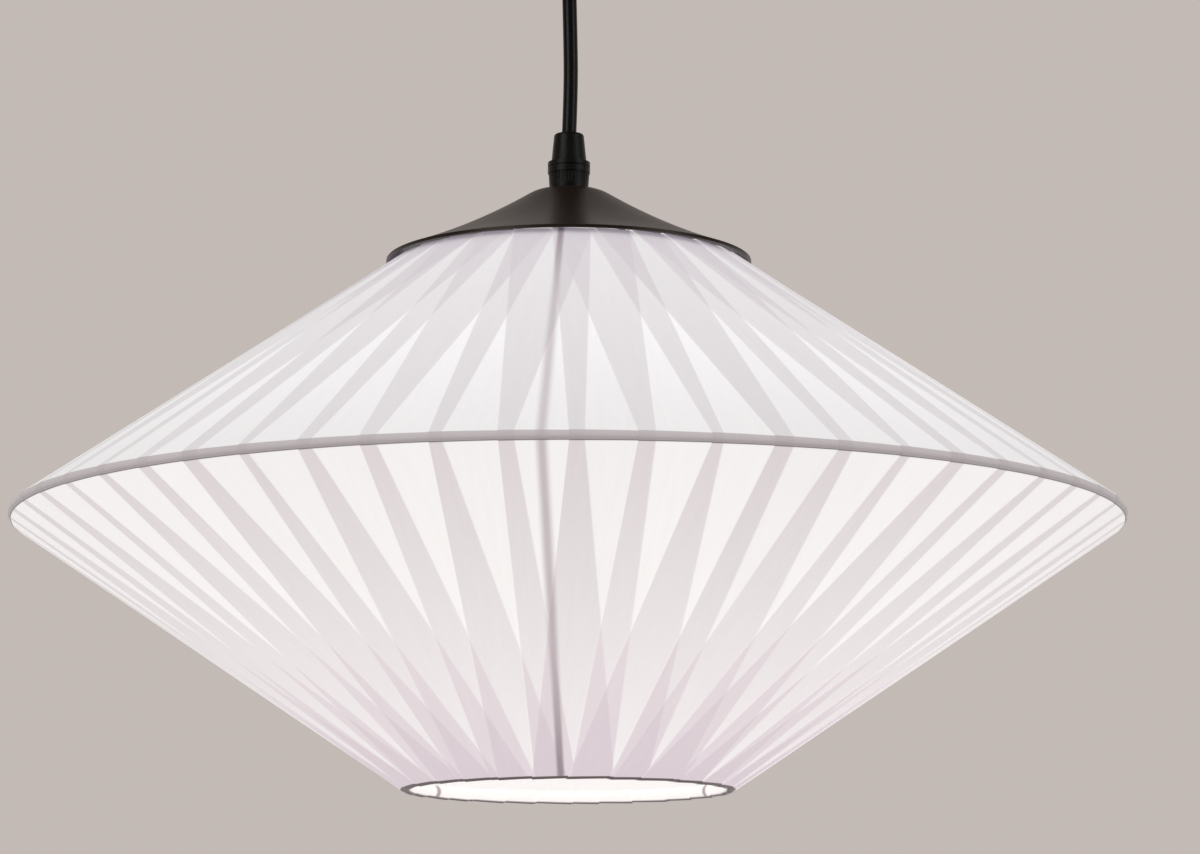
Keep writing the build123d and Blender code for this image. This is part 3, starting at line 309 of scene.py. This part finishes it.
# One half of a pass's length, from the equator ring outwards. Each station is a centre in the lamp's
# section, the direction in which the ribbon stands off it, how far along the slope it is from 0 to 1,
# and its distance along the ribbon from the equator and from the end ring.
def half_stations(ring_radius, ring_height, slope_steps=14, arc_steps=5, wrap_steps=10):
    side = 1 if ring_height > equator_height else -1
    reach, rise = equator_radius - ring_radius, abs(ring_height - equator_height)
    slope_length, slope = hypot(reach, rise), atan2(rise, reach)
    along = Vector((-cos(slope), side * sin(slope)))
    outwards = Vector((sin(slope), side * cos(slope)))
    equator_centre = Vector((equator_radius, equator_height))
    ring_centre = Vector((ring_radius, ring_height))
    quarter = pi / 2 - slope
    stations = []
    for step in range(1, arc_steps):
        turn = quarter * step / arc_steps
        direction = Vector((cos(turn), side * sin(turn)))
        stations.append((equator_centre, direction, 0.0, turn * ribbon_offset, -slope_length))
    for step in range(slope_steps + 1):
        share = step / slope_steps
        centre = equator_centre.lerp(ring_centre, share)
        from_equator = quarter * ribbon_offset + share * slope_length
        stations.append((centre, outwards, share, from_equator, (share - 1) * slope_length))
    for step in range(1, wrap_steps + 1):
        turn = wrap_end * step / wrap_steps
        direction = outwards * cos(turn) + along * sin(turn)
        from_equator = quarter * ribbon_offset + slope_length
        stations.append((ring_centre, direction, 1.0, from_equator, turn * ribbon_offset))
    return stations


pass_step = 2 * pi / pass_count
equator_azimuths, top_azimuths, mouth_azimuths = [], [], []
for number in range(pass_count):
    middle = first_azimuth + number * pass_step
    lean = pass_step / 2 if number % 2 == 0 else -pass_step / 2
    equator_azimuths.append(middle + wobble.uniform(-equator_wobble, equator_wobble))
    top_azimuths.append(middle - lean + wobble.uniform(-ring_wobble, ring_wobble))
    mouth_azimuths.append(middle + lean + wobble.uniform(-ring_wobble, ring_wobble))


# The azimuth of a straight pass at a share of its slope, seen in plan. Azimuths run from -Y towards +X.
def pass_azimuth(number, ring_azimuths, ring_radius, share):
    turns = number // pass_count * 2 * pi
    start, end = equator_azimuths[number % pass_count], ring_azimuths[number % pass_count]
    sideways = share * ring_radius * sin(end - start)
    forwards = (1 - share) * equator_radius + share * ring_radius * cos(end - start)
    return turns + start + atan2(sideways, forwards)


# The whole length of a pass, from its turn at the top ring to its turn at the mouth ring. Each row has the
# half's ring, the station, and the sign of its distance from the equator.
upper_half = [("top", 1, station) for station in half_stations(top_radius, top_height)]
lower_half = [("mouth", -1, station) for station in half_stations(mouth_radius, mouth_height)]
equator_station = (Vector((equator_radius, equator_height)), Vector((1, 0)), 0.0, 0.0, -0.2)
full_length = upper_half[::-1] + [("top", 1, equator_station)] + lower_half
ring_data = {"top": (top_azimuths, top_radius), "mouth": (mouth_azimuths, mouth_radius)}


# The points of one pass, with what its material needs at each: the distances to the middles of the three
# passes before it and after it, and those from the equator, from the end ring and from its own middle. Each
# pass leans a little on the one before, and the later of the two that meet at a ring stands higher there.
def ribbon_pass(number, rows, across_steps=8):
    points, before, after, along = [], [], [], []
    for ring, sign, (centre, direction, share, from_equator, from_ring) in rows:
        azimuths, ring_radius = ring_data[ring]
        middle = pass_azimuth(number, azimuths, ring_radius, share)
        tilt = equator_tilt + (ring_tilt - equator_tilt) * share
        later_of_pair = (number + 1) % 2 if ring == "top" else number % 2
        lift = ribbon_lift * share**4 * later_of_pair
        for step in range(across_steps + 1):
            across = ribbon_width * (step / across_steps - 0.5)
            stand_off = ribbon_offset - tilt * across + lift
            radius = centre.x + direction.x * stand_off
            azimuth = middle + across / radius
            height = centre.y + direction.y * stand_off
            points.append((radius * sin(azimuth), -radius * cos(azimuth), height))
            gaps = [
                1000 * radius * (azimuth - pass_azimuth(number + apart, azimuths, ring_radius, share))
                for apart in (-3, -2, -1, 1, 2, 3)
            ]
            before.append(gaps[:3])
            after.append(gaps[3:])
            along.append((1000 * sign * from_equator, 1000 * from_ring, 1000 * across))
    return points, before, after, along


# A closed thin sheet of several passes, with the distances stored on its points. Each pass has its own place
# in ribbon_uv, so that no two carry the same weave and tone, and the inner side has the second material.
def ribbon_piece(name, numbers, rows, across_steps=8):
    points, faces, places = [], [], []
    stored = {"before": [], "after": [], "along": []}
    row_length = across_steps + 1
    for number in numbers:
        start = len(points)
        made, before, after, along = ribbon_pass(number, rows, across_steps)
        points += made
        for key, values in zip(stored, (before, after, along)):
            stored[key] += values
        for from_equator, from_ring, across in along:
            turned = max(from_ring, 0) if from_equator > 0 else -max(from_ring, 0)
            places.append((number + 0.5 + across / 100, (from_equator + turned) / 100))
        for row in range(len(rows) - 1):
            for column in range(across_steps):
                corner = start + row * row_length + column
                faces.append((corner, corner + row_length, corner + row_length + 1, corner + 1))
    mesh = bpy.data.meshes.new(name)
    mesh.from_pydata(points, [], faces)
    for key, values in stored.items():
        attribute = mesh.attributes.new(key, "FLOAT_VECTOR", "POINT")
        attribute.data.foreach_set("vector", [part for value in values for part in value])
    uv_layer = mesh.uv_layers.new(name="ribbon_uv")
    for loop in mesh.loops:
        uv_layer.data[loop.index].uv = places[loop.vertex_index]
    mesh.materials.append(ribbon_cloth)
    mesh.materials.append(ribbon_inside)
    piece = bpy.data.objects.new(name, mesh)
    bpy.context.collection.objects.link(piece)
    bpy.ops.object.select_all(action="DESELECT")
    bpy.context.view_layer.objects.active = piece
    piece.select_set(True)
    solidify = piece.modifiers.new("thickness", "SOLIDIFY")
    solidify.thickness = ribbon_thickness
    solidify.offset = 0
    solidify.material_offset = 1
    bpy.ops.object.modifier_apply(modifier="thickness")
    bpy.ops.object.shade_smooth_by_angle(angle=radians(40))
    piece.select_set(False)
    return piece


# A short name for arithmetic in node trees
def calc(tree, operation, *values, clamp=False):
    sockets = dict(enumerate(values))
    return add_node(tree, "ShaderNodeMath", sockets, operation=operation, use_clamp=clamp).outputs[0]


# A smooth step of a value from one number at a to another at b
def step_of(tree, value, a, b, low=0.0, high=1.0):
    sockets = {0: value, 1: a, 2: b, 3: low, 4: high}
    return add_node(tree, "ShaderNodeMapRange", sockets, interpolation_type="SMOOTHSTEP").outputs[0]


# How many layers of ribbon lie over each other at a point, counted from the stored distances. The passes
# before a pass lie under it and show through softly, and those after it end at a clear edge.
layer_group, layer_in, layer_out = new_group(
    "ribbon_layers",
    {
        "Before": ("Vector", (99, 99, 99)),
        "After": ("Vector", (99, 99, 99)),
        "Half Width": ("Float", 500 * ribbon_width),
        "Before Blur": ("Float", 0.5),
        "After Blur": ("Float", 0.15),
    },
    {"Layers": "Float"},
)
half_width = layer_in.outputs["Half Width"]
layers = 1.0
for side in ("Before", "After"):
    blur = layer_in.outputs[f"{side} Blur"]
    inner_edge = calc(layer_group, "SUBTRACT", half_width, blur)
    outer_edge = calc(layer_group, "ADD", half_width, blur)
    apart = add_node(
        layer_group, "ShaderNodeVectorMath", {0: layer_in.outputs[side]}, operation="ABSOLUTE"
    ).outputs[0]
    covered = add_node(
        layer_group,
        "ShaderNodeMapRange",
        {6: apart, 7: inner_edge, 8: outer_edge, 9: (1, 1, 1), 10: (0, 0, 0)},
        data_type="FLOAT_VECTOR",
        interpolation_type="SMOOTHSTEP",
    ).outputs[1]
    covers = add_node(
        layer_group, "ShaderNodeVectorMath", {0: covered, 1: (1, 1, 1)}, operation="DOT_PRODUCT"
    ).outputs[1]
    layers = calc(layer_group, "ADD", layers, covers)
layer_group.links.new(layers, layer_out.inputs["Layers"])

# A painted glow for the light that comes through, by the number of layers from one to six. It is whitest
# where one layer lies nearest to the bulb and lilac where many do, and differs between the upper and the lower
# slope.
glow_group, glow_in, glow_out = new_group(
    "ribbon_glow",
    {"Layers": ("Float", 1.0), "Share": ("Float", 0.0), "Lower": ("Float", 0.0)},
    {"Color": "Color"},
)
glow_tones = {
    "upper_equator": ((0.40, 0.395, 0.40), (0.275, 0.258, 0.27), (0.22, 0.19, 0.21), (0.17, 0.14, 0.165),
                      (0.13, 0.095, 0.13), (0.10, 0.07, 0.10)),
    "upper_ring": ((0.62, 0.62, 0.63), (0.42, 0.41, 0.42), (0.30, 0.275, 0.306), (0.258, 0.229, 0.273),
                   (0.22, 0.18, 0.24), (0.18, 0.14, 0.20)),
    "lower_equator": ((0.555, 0.548, 0.548), (0.37, 0.33, 0.345), (0.42, 0.36, 0.385), (0.40, 0.34, 0.37),
                      (0.33, 0.27, 0.30), (0.25, 0.20, 0.23)),
    "lower_ring": ((0.64, 0.635, 0.625), (0.57, 0.545, 0.55), (0.43, 0.37, 0.41), (0.365, 0.295, 0.345),
                   (0.30, 0.22, 0.28), (0.24, 0.16, 0.22)),
}
most_layers = 6
above_one = calc(glow_group, "SUBTRACT", glow_in.outputs["Layers"], 1.0)
layer_share = calc(glow_group, "DIVIDE", above_one, most_layers - 1, clamp=True)
ramps = {}
for place, tones in glow_tones.items():
    ramp = add_node(glow_group, "ShaderNodeValToRGB", {0: layer_share})
    for _ in tones[2:]:
        ramp.color_ramp.elements.new(0.5)
    for number, tone in enumerate(tones):
        ramp.color_ramp.elements[number].position = number / (len(tones) - 1)
        ramp.color_ramp.elements[number].color = (*tone, 1)
    ramps[place] = ramp.outputs["Color"]


# One color or another by a factor
def mix_colors(tree, factor, first, second):
    mixed = add_node(tree, "ShaderNodeMix", data_type="RGBA")
    for number, value in ((0, factor), (6, first), (7, second)):
        if isinstance(value, bpy.types.NodeSocket):
            tree.links.new(value, mixed.inputs[number])
        else:
            mixed.inputs[number].default_value = value
    return mixed.outputs[2]


slopes = [
    mix_colors(glow_group, glow_in.outputs["Share"], ramps[f"{slope}_equator"], ramps[f"{slope}_ring"])
    for slope in ("upper", "lower")
]
glow_group.links.new(mix_colors(glow_group, glow_in.outputs["Lower"], *slopes), glow_out.inputs["Color"])

# What hides the light behind the ribbon: the wire of the equator ring, the mouth's ring up to where the
# ribbon turns inwards, the crease under the equator ring, and, more softly, the three ribs inside. Distances
# along the ribbon are in mm, those beside a rib in m.
equator_band_edge = (1.7, 2.3)
crease_top, crease_bottom = (-2.9, -2.45), (-2.2, -1.75)
mouth_top, mouth_bottom = (-1.1, -0.4), (2.5, 3.6)
rib_count = 3
rib_core_width = 0.0001
rib_blur_steps = (0.3, 1.0, 0.0034, 0.0021)
shadow_group, shadow_in, shadow_out = new_group(
    "wire_shadow",
    {"Along": ("Vector", (0, 0, 0)), "Share": ("Float", 0.0), "Lower": ("Float", 0.0)},
    {"Equator": "Float", "Crease": "Float", "Mouth": "Float", "Rib": "Float"},
)
along_parts = add_node(shadow_group, "ShaderNodeSeparateXYZ", {0: shadow_in.outputs["Along"]})
off_equator, off_ring = along_parts.outputs[0], along_parts.outputs[1]
beside_equator = calc(shadow_group, "ABSOLUTE", off_equator)
equator_shade = step_of(shadow_group, beside_equator, *equator_band_edge, 1.0, 0.0)
crease_start = step_of(shadow_group, off_equator, *crease_top)
crease_end = step_of(shadow_group, off_equator, *crease_bottom, 1.0, 0.0)
crease = calc(shadow_group, "MULTIPLY", crease_start, crease_end)
mouth_start = step_of(shadow_group, off_ring, *mouth_top)
mouth_end = step_of(shadow_group, off_ring, *mouth_bottom, 1.0, 0.0)
end_shade = calc(shadow_group, "MULTIPLY", mouth_start, mouth_end)
mouth_shade = calc(shadow_group, "MULTIPLY", end_shade, shadow_in.outputs["Lower"])
shadow_group.links.new(equator_shade, shadow_out.inputs["Equator"])
shadow_group.links.new(crease, shadow_out.inputs["Crease"])
shadow_group.links.new(mouth_shade, shadow_out.inputs["Mouth"])
point_place = add_node(shadow_group, "ShaderNodeTexCoord").outputs["Object"]
lower = shadow_in.outputs["Lower"]
rib_core = calc(shadow_group, "MULTIPLY_ADD", lower, rib_core_width, rib_core_width)
rib_blur = step_of(shadow_group, shadow_in.outputs["Share"], *rib_blur_steps)
rib_edge = calc(shadow_group, "ADD", rib_core, rib_blur)
rib_shade = 0.0
for number in range(rib_count):
    azimuth = first_azimuth + number * 2 * pi / rib_count
    parts = []
    for direction in ((sin(azimuth), -cos(azimuth), 0), (cos(azimuth), sin(azimuth), 0)):
        sockets = {0: point_place, 1: direction}
        distance = add_node(shadow_group, "ShaderNodeVectorMath", sockets, operation="DOT_PRODUCT")
        parts.append(distance.outputs[1])
    in_front = calc(shadow_group, "GREATER_THAN", parts[0], 0.0)
    beside = calc(shadow_group, "ABSOLUTE", parts[1])
    one_rib = step_of(shadow_group, beside, rib_core, rib_edge, 1.0, 0.0)
    rib_shade = calc(shadow_group, "MAXIMUM", rib_shade, calc(shadow_group, "MULTIPLY", one_rib, in_front))
shadow_group.links.new(rib_shade, shadow_out.inputs["Rib"])

# The weave: threads along and across, long soft streaks of the woven cloth, and each pass's own tone
streak_scale, slub_scale = (40, 3, 1), (260, 120, 1)
threads_across, threads_along = 1900.0, 1500.0
weave_group, weave_in, weave_out = new_group(
    "ribbon_weave", {"Place": ("Vector", (0, 0, 0))}, {"Tone": "Float", "Height": "Float"}
)
weave_parts = add_node(weave_group, "ShaderNodeSeparateXYZ", {0: weave_in.outputs["Place"]})
pass_number = calc(weave_group, "FLOOR", weave_parts.outputs[0])
own_tone = add_node(
    weave_group, "ShaderNodeTexWhiteNoise", {"W": pass_number}, noise_dimensions="1D"
).outputs[0]
textures = []
for scale, detail in ((streak_scale, 3.0), (slub_scale, 2.0)):
    sockets = {0: weave_in.outputs["Place"], 1: scale}
    scaled = add_node(weave_group, "ShaderNodeVectorMath", sockets, operation="MULTIPLY").outputs[0]
    sockets = {"Vector": scaled, "Scale": 1.0, "Detail": detail}
    textures.append(add_node(weave_group, "ShaderNodeTexNoise", sockets).outputs["Fac"])
streaks, slubs = textures
threads = []
for axis, count in ((0, threads_across), (1, threads_along)):
    threads.append(calc(weave_group, "SINE", calc(weave_group, "MULTIPLY", weave_parts.outputs[axis], count)))
weave = calc(weave_group, "ADD", *threads)
tone = calc(weave_group, "MULTIPLY_ADD", own_tone, 0.03, 0.985)
for texture, amount in ((streaks, 0.06), (slubs, 0.05)):
    tone = calc(weave_group, "MULTIPLY_ADD", calc(weave_group, "SUBTRACT", texture, 0.5), amount, tone)
tone = calc(weave_group, "MULTIPLY_ADD", weave, 0.006, tone)
height = calc(weave_group, "MULTIPLY_ADD", weave, 0.12, streaks)
weave_group.links.new(tone, weave_out.inputs["Tone"])
weave_group.links.new(height, weave_out.inputs["Height"])


# The two sides of the ribbon. The outside has a painted glow by its layers, for the bulb's light coming
# through, less where a wire hides the bulb, with painted highlights along the selvages. The inside has a
# painted glow for the bulb's direct light.
def ribbon_material(name):
    material = bpy.data.materials.new(name)
    material.use_nodes = True
    tree = material.node_tree
    along = add_node(tree, "ShaderNodeAttribute", attribute_name="along").outputs["Vector"]
    place = add_node(tree, "ShaderNodeUVMap", uv_map="ribbon_uv").outputs[0]
    weave = add_node(tree, "ShaderNodeGroup", node_tree=weave_group)
    tree.links.new(place, weave.inputs["Place"])
    relief = add_node(
        tree, "ShaderNodeBump", {"Height": weave.outputs["Height"], "Strength": 0.25, "Distance": 0.0004}
    )
    shader = tree.nodes["Principled BSDF"]
    tree.links.new(relief.outputs[0], shader.inputs["Normal"])
    shader.inputs["Roughness"].default_value = 0.7
    shader.inputs["Specular IOR Level"].default_value = 0.3
    shader.inputs["Sheen Weight"].default_value = 0.35
    shader.inputs["Sheen Roughness"].default_value = 0.3
    shader.inputs["Emission Strength"].default_value = 1.0
    return material, tree, shader, along, weave


# Colours of the cloth and of its painted shade and painted glow: the equator wire's shadow, the shade at the
# mouth, the crease and the ribs' ends, the glow in a rib's shadow, and the glows of the turned-in ribbon and
# the inside
ribbon_tone = (0.50, 0.485, 0.487)
equator_shade_tone = (0.49, 0.445, 0.455)
painted_shade_tone = (0.17, 0.13, 0.14)
rib_shadow_glow_tone = (0.36, 0.28, 0.33)
turned_in_glow = (0.62, 0.60, 0.58)
inside_glow_tone = (0.50, 0.49, 0.482)
shaded_length = 208.0
rib_depth_steps = (0.65, 0.95, 0.95, 1.5)
rib_end_steps = (0.72, 1.0, 0.0, 0.6)
band_glow_steps = (-1.9, 0.9, 0.0, 0.2)
selvage_highlight_steps = (16.55, 16.85, 0.0, 0.07)
turned_in_steps = (2.6, 3.8)
crease_shadow_depth = 0.6
ribbon_cloth, cloth, cloth_shader, stored_along, cloth_weave = ribbon_material("ribbon_cloth")
along_parts = add_node(cloth, "ShaderNodeSeparateXYZ", {0: stored_along})
from_equator, from_ring, from_middle = along_parts.outputs
slope_share = calc(cloth, "DIVIDE", calc(cloth, "ABSOLUTE", from_equator), shaded_length, clamp=True)
is_lower = calc(cloth, "LESS_THAN", from_equator, 0.0)
layer_count = add_node(cloth, "ShaderNodeGroup", node_tree=layer_group)
for key, label in (("before", "Before"), ("after", "After")):
    stored_gaps = add_node(cloth, "ShaderNodeAttribute", attribute_name=key).outputs["Vector"]
    cloth.links.new(stored_gaps, layer_count.inputs[label])
ribbon_glow = add_node(cloth, "ShaderNodeGroup", node_tree=glow_group)
wire_shadow = add_node(cloth, "ShaderNodeGroup", node_tree=shadow_group)
cloth.links.new(layer_count.outputs["Layers"], ribbon_glow.inputs["Layers"])
cloth.links.new(stored_along, wire_shadow.inputs["Along"])
for group in (ribbon_glow, wire_shadow):
    cloth.links.new(slope_share, group.inputs["Share"])
    cloth.links.new(is_lower, group.inputs["Lower"])
# The ribs' painted shadows tint the glow lilac, more strongly towards the end rings
rib_depth = step_of(cloth, slope_share, *rib_depth_steps)
rib_factor = calc(cloth, "MULTIPLY", rib_depth, wire_shadow.outputs["Rib"])
rib_shadow_tint = mix_colors(cloth, rib_factor, (1, 1, 1, 1), (*rib_shadow_glow_tone, 1))
# The equator wire's painted shadow takes the glow out of a band, and a little painted light comes back towards
# its upper edge
band_height = step_of(cloth, from_equator, *band_glow_steps)
band_glow = calc(cloth, "MULTIPLY", wire_shadow.outputs["Equator"], band_height)
open_part = calc(cloth, "SUBTRACT", 1.0, wire_shadow.outputs["Mouth"])
crease_dim = calc(cloth, "SUBTRACT", 1.0, wire_shadow.outputs["Crease"])
equator_dim = calc(cloth, "ADD", calc(cloth, "SUBTRACT", 1.0, wire_shadow.outputs["Equator"]), band_glow)
dim = calc(cloth, "MULTIPLY", calc(cloth, "MULTIPLY", equator_dim, open_part), crease_dim)
# Painted highlights along the selvages: the glow is a little stronger at each pass's edges
selvage_highlight = step_of(cloth, calc(cloth, "ABSOLUTE", from_middle), *selvage_highlight_steps)
dim = calc(cloth, "MULTIPLY", dim, calc(cloth, "ADD", selvage_highlight, cloth_weave.outputs["Tone"]))
# Painted glow where the ribbon turns in round the mouth's ring, for the bulb's light on its inner side
turned_in = calc(cloth, "MULTIPLY", step_of(cloth, from_ring, *turned_in_steps), is_lower)
glow = mix_colors(cloth, turned_in, ribbon_glow.outputs["Color"], (*turned_in_glow, 1))
glow = add_node(cloth, "ShaderNodeVectorMath", {0: glow, 1: rib_shadow_tint}, operation="MULTIPLY").outputs[0]
glow = add_node(cloth, "ShaderNodeVectorMath", {0: glow, "Scale": dim}, operation="SCALE").outputs[0]
# The outside's painted glow, dimmed where the wires' painted shadows fall
cloth.links.new(glow, cloth_shader.inputs["Emission Color"])
# Painted shade darkens the cloth's own colour at the ribs' shadows near their ends, in the crease under the
# equator ring and along the mouth's ring
end_share = step_of(cloth, slope_share, *rib_end_steps)
rib_end_shadow = calc(cloth, "MULTIPLY", wire_shadow.outputs["Rib"], end_share)
crease_shadow = calc(cloth, "MULTIPLY", wire_shadow.outputs["Crease"], crease_shadow_depth)
painted_shade = calc(cloth, "MAXIMUM", calc(cloth, "MAXIMUM", rib_end_shadow, crease_shadow), wire_shadow.outputs["Mouth"])
# The cloth's colour is greyer in the band of the equator wire's painted shadow
cloth_tone = mix_colors(cloth, wire_shadow.outputs["Equator"], (*ribbon_tone, 1), (*equator_shade_tone, 1))
cloth_tone = mix_colors(cloth, painted_shade, cloth_tone, (*painted_shade_tone, 1))
cloth_tone = add_node(
    cloth, "ShaderNodeVectorMath", {0: cloth_tone, "Scale": cloth_weave.outputs["Tone"]}, operation="SCALE"
).outputs[0]
cloth.links.new(cloth_tone, cloth_shader.inputs["Base Color"])

# The ribbon's inside: a painted glow for the bulb's direct light on it
ribbon_inside, inside, inside_shader, _, inside_weave = ribbon_material("ribbon_inside")
inside_shader.inputs["Base Color"].default_value = (*ribbon_tone, 1)
inside_glow = add_node(
    inside, "ShaderNodeVectorMath", {0: inside_glow_tone, "Scale": inside_weave.outputs["Tone"]},
    operation="SCALE"
).outputs[0]
inside.links.new(inside_glow, inside_shader.inputs["Emission Color"])

pass_length = 2 * wrap_end * ribbon_offset
for half in (upper_half, lower_half):
    pass_length += half[-1][2][3]
for group_number in range(piece_count):
    numbers = range(group_number, pass_count, piece_count)
    piece = ribbon_piece(f"ribbon_passes_{group_number + 1}", numbers, full_length)
    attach(piece, "lamp")
    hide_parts(f"ribbon_upper_{group_number + 1}", f"ribbon_lower_{group_number + 1}")

# Wire frame: three welded rings, six ribs and three arms of steel wire with a thin white coating, and the
# flat spider ring that the lampholder clamps. A painted glow stands in for the bulb's light on them.
wire_coating = finish_of("wire_coating", (0.62, 0.60, 0.60), 0.42, bump=0.2, tone_spread=0.1)
wire_shader = wire_coating.node_tree.nodes["Principled BSDF"]
wire_shader.inputs["Emission Color"].default_value = (1.0, 0.97, 0.94, 1)
wire_shader.inputs["Emission Strength"].default_value = 0.4
dress(
    wire_coating, "top_ring", "equator_ring", "bottom_ring", "upper_ribs", "lower_ribs", "spider_arms",
    "spider_ring"
)

# Shade cap: a spun steel cone with satin black-brown paint, over the shade's upper opening.
cap_paint = finish_of(
    "cap_paint", (0.015, 0.0095, 0.0072), 0.3, bump=0.12, tone_spread=0.25, cloud_scale=25.0, specular=0.33
)
cap_shader = cap_paint.node_tree.nodes["Principled BSDF"]
cap_shader.inputs["Specular Tint"].default_value = (1.0, 0.88, 0.81, 1)
dress(cap_paint, "shade_cap")

# Cord grip: a conical clamp nut on a ribbed body, moulded in black plastic, with its collet inside.
grip_plastic = finish_of(
    "grip_plastic", (0.005, 0.0043, 0.0038), 0.32, bump=0.3, grain_scale=3500.0, specular=0.26
)
dress(grip_plastic, "grip_nut", "grip_body")
nylon = finish_of("nylon", (0.72, 0.70, 0.64), 0.5, bump=0.15)
dress(nylon, "grip_collet", "relief_locknut", "relief_clamp_screw", "terminal_block")

# Ceiling rose: a moulded black cup and its strain relief, with a zinc plated bracket inside.
rose_plastic = finish_of("rose_plastic", (0.016, 0.0155, 0.016), 0.38, bump=0.3, grain_scale=1800.0)
dress(rose_plastic, "rose_cup", "rose_relief", "lampholder_dome", "lampholder_skirt", "shade_ring")
zinc = finish_of("zinc", (0.60, 0.60, 0.585), 0.34, metallic=1.0, cloud_scale=180.0, tone_spread=0.3)
dress(
    zinc, "ceiling_bracket", "rose_side_screws", "terminal_screws", "block_screw", "holder_terminal_screws",
    "threaded_nipple", "nipple_locknut"
)
brass = finish_of("brass", (0.70, 0.50, 0.21), 0.28, metallic=1.0, cloud_scale=140.0)
dress(brass, "terminal_barrels", "earth_screw", "screw_shell", "centre_contact", "holder_terminals")
tin = finish_of("tin", (0.70, 0.69, 0.66), 0.3, metallic=1.0, cloud_scale=160.0)
dress(tin, "earth_eyelet", "earth_tag", "bulb_tip_contact")
dress(finish_of("brown_sheath", (0.12, 0.045, 0.02), 0.4), "rose_brown_lead", "holder_brown_lead")
dress(finish_of("blue_sheath", (0.03, 0.09, 0.32), 0.4), "rose_blue_lead", "holder_blue_lead")
dress(finish_of("earth_sheath", (0.35, 0.48, 0.06), 0.4), "rose_earth_lead", "holder_earth_lead")
dress(finish_of("red_fibre", (0.24, 0.05, 0.03), 0.7), "fibre_washer")
dress(finish_of("ceramic", (0.78, 0.76, 0.71), 0.2, coat=0.4), "lampholder_insert")

# Bulb: an opal globe on a white housing, which glows.
dress(finish_of("bulb_cap_plating", (0.66, 0.66, 0.67), 0.25, metallic=1.0), "bulb_cap")
dress(finish_of("vitrite", (0.012, 0.012, 0.016), 0.15), "bulb_insulator")
dress(finish_of("bulb_housing", (0.78, 0.78, 0.76), 0.35), "bulb_neck")
dress(finish_of("board_lacquer", (0.75, 0.75, 0.73), 0.4), "light_board")
dress(finish_of("phosphor", (0.85, 0.62, 0.12), 0.5), "light_chips")
opal = finish_of("opal", (0.9, 0.88, 0.85), 0.2)
opal_shader = opal.node_tree.nodes["Principled BSDF"]
opal_shader.inputs["Emission Color"].default_value = (1.0, 0.95, 0.88, 1)
opal_shader.inputs["Emission Strength"].default_value = 1.5
dress(opal, "bulb_globe")
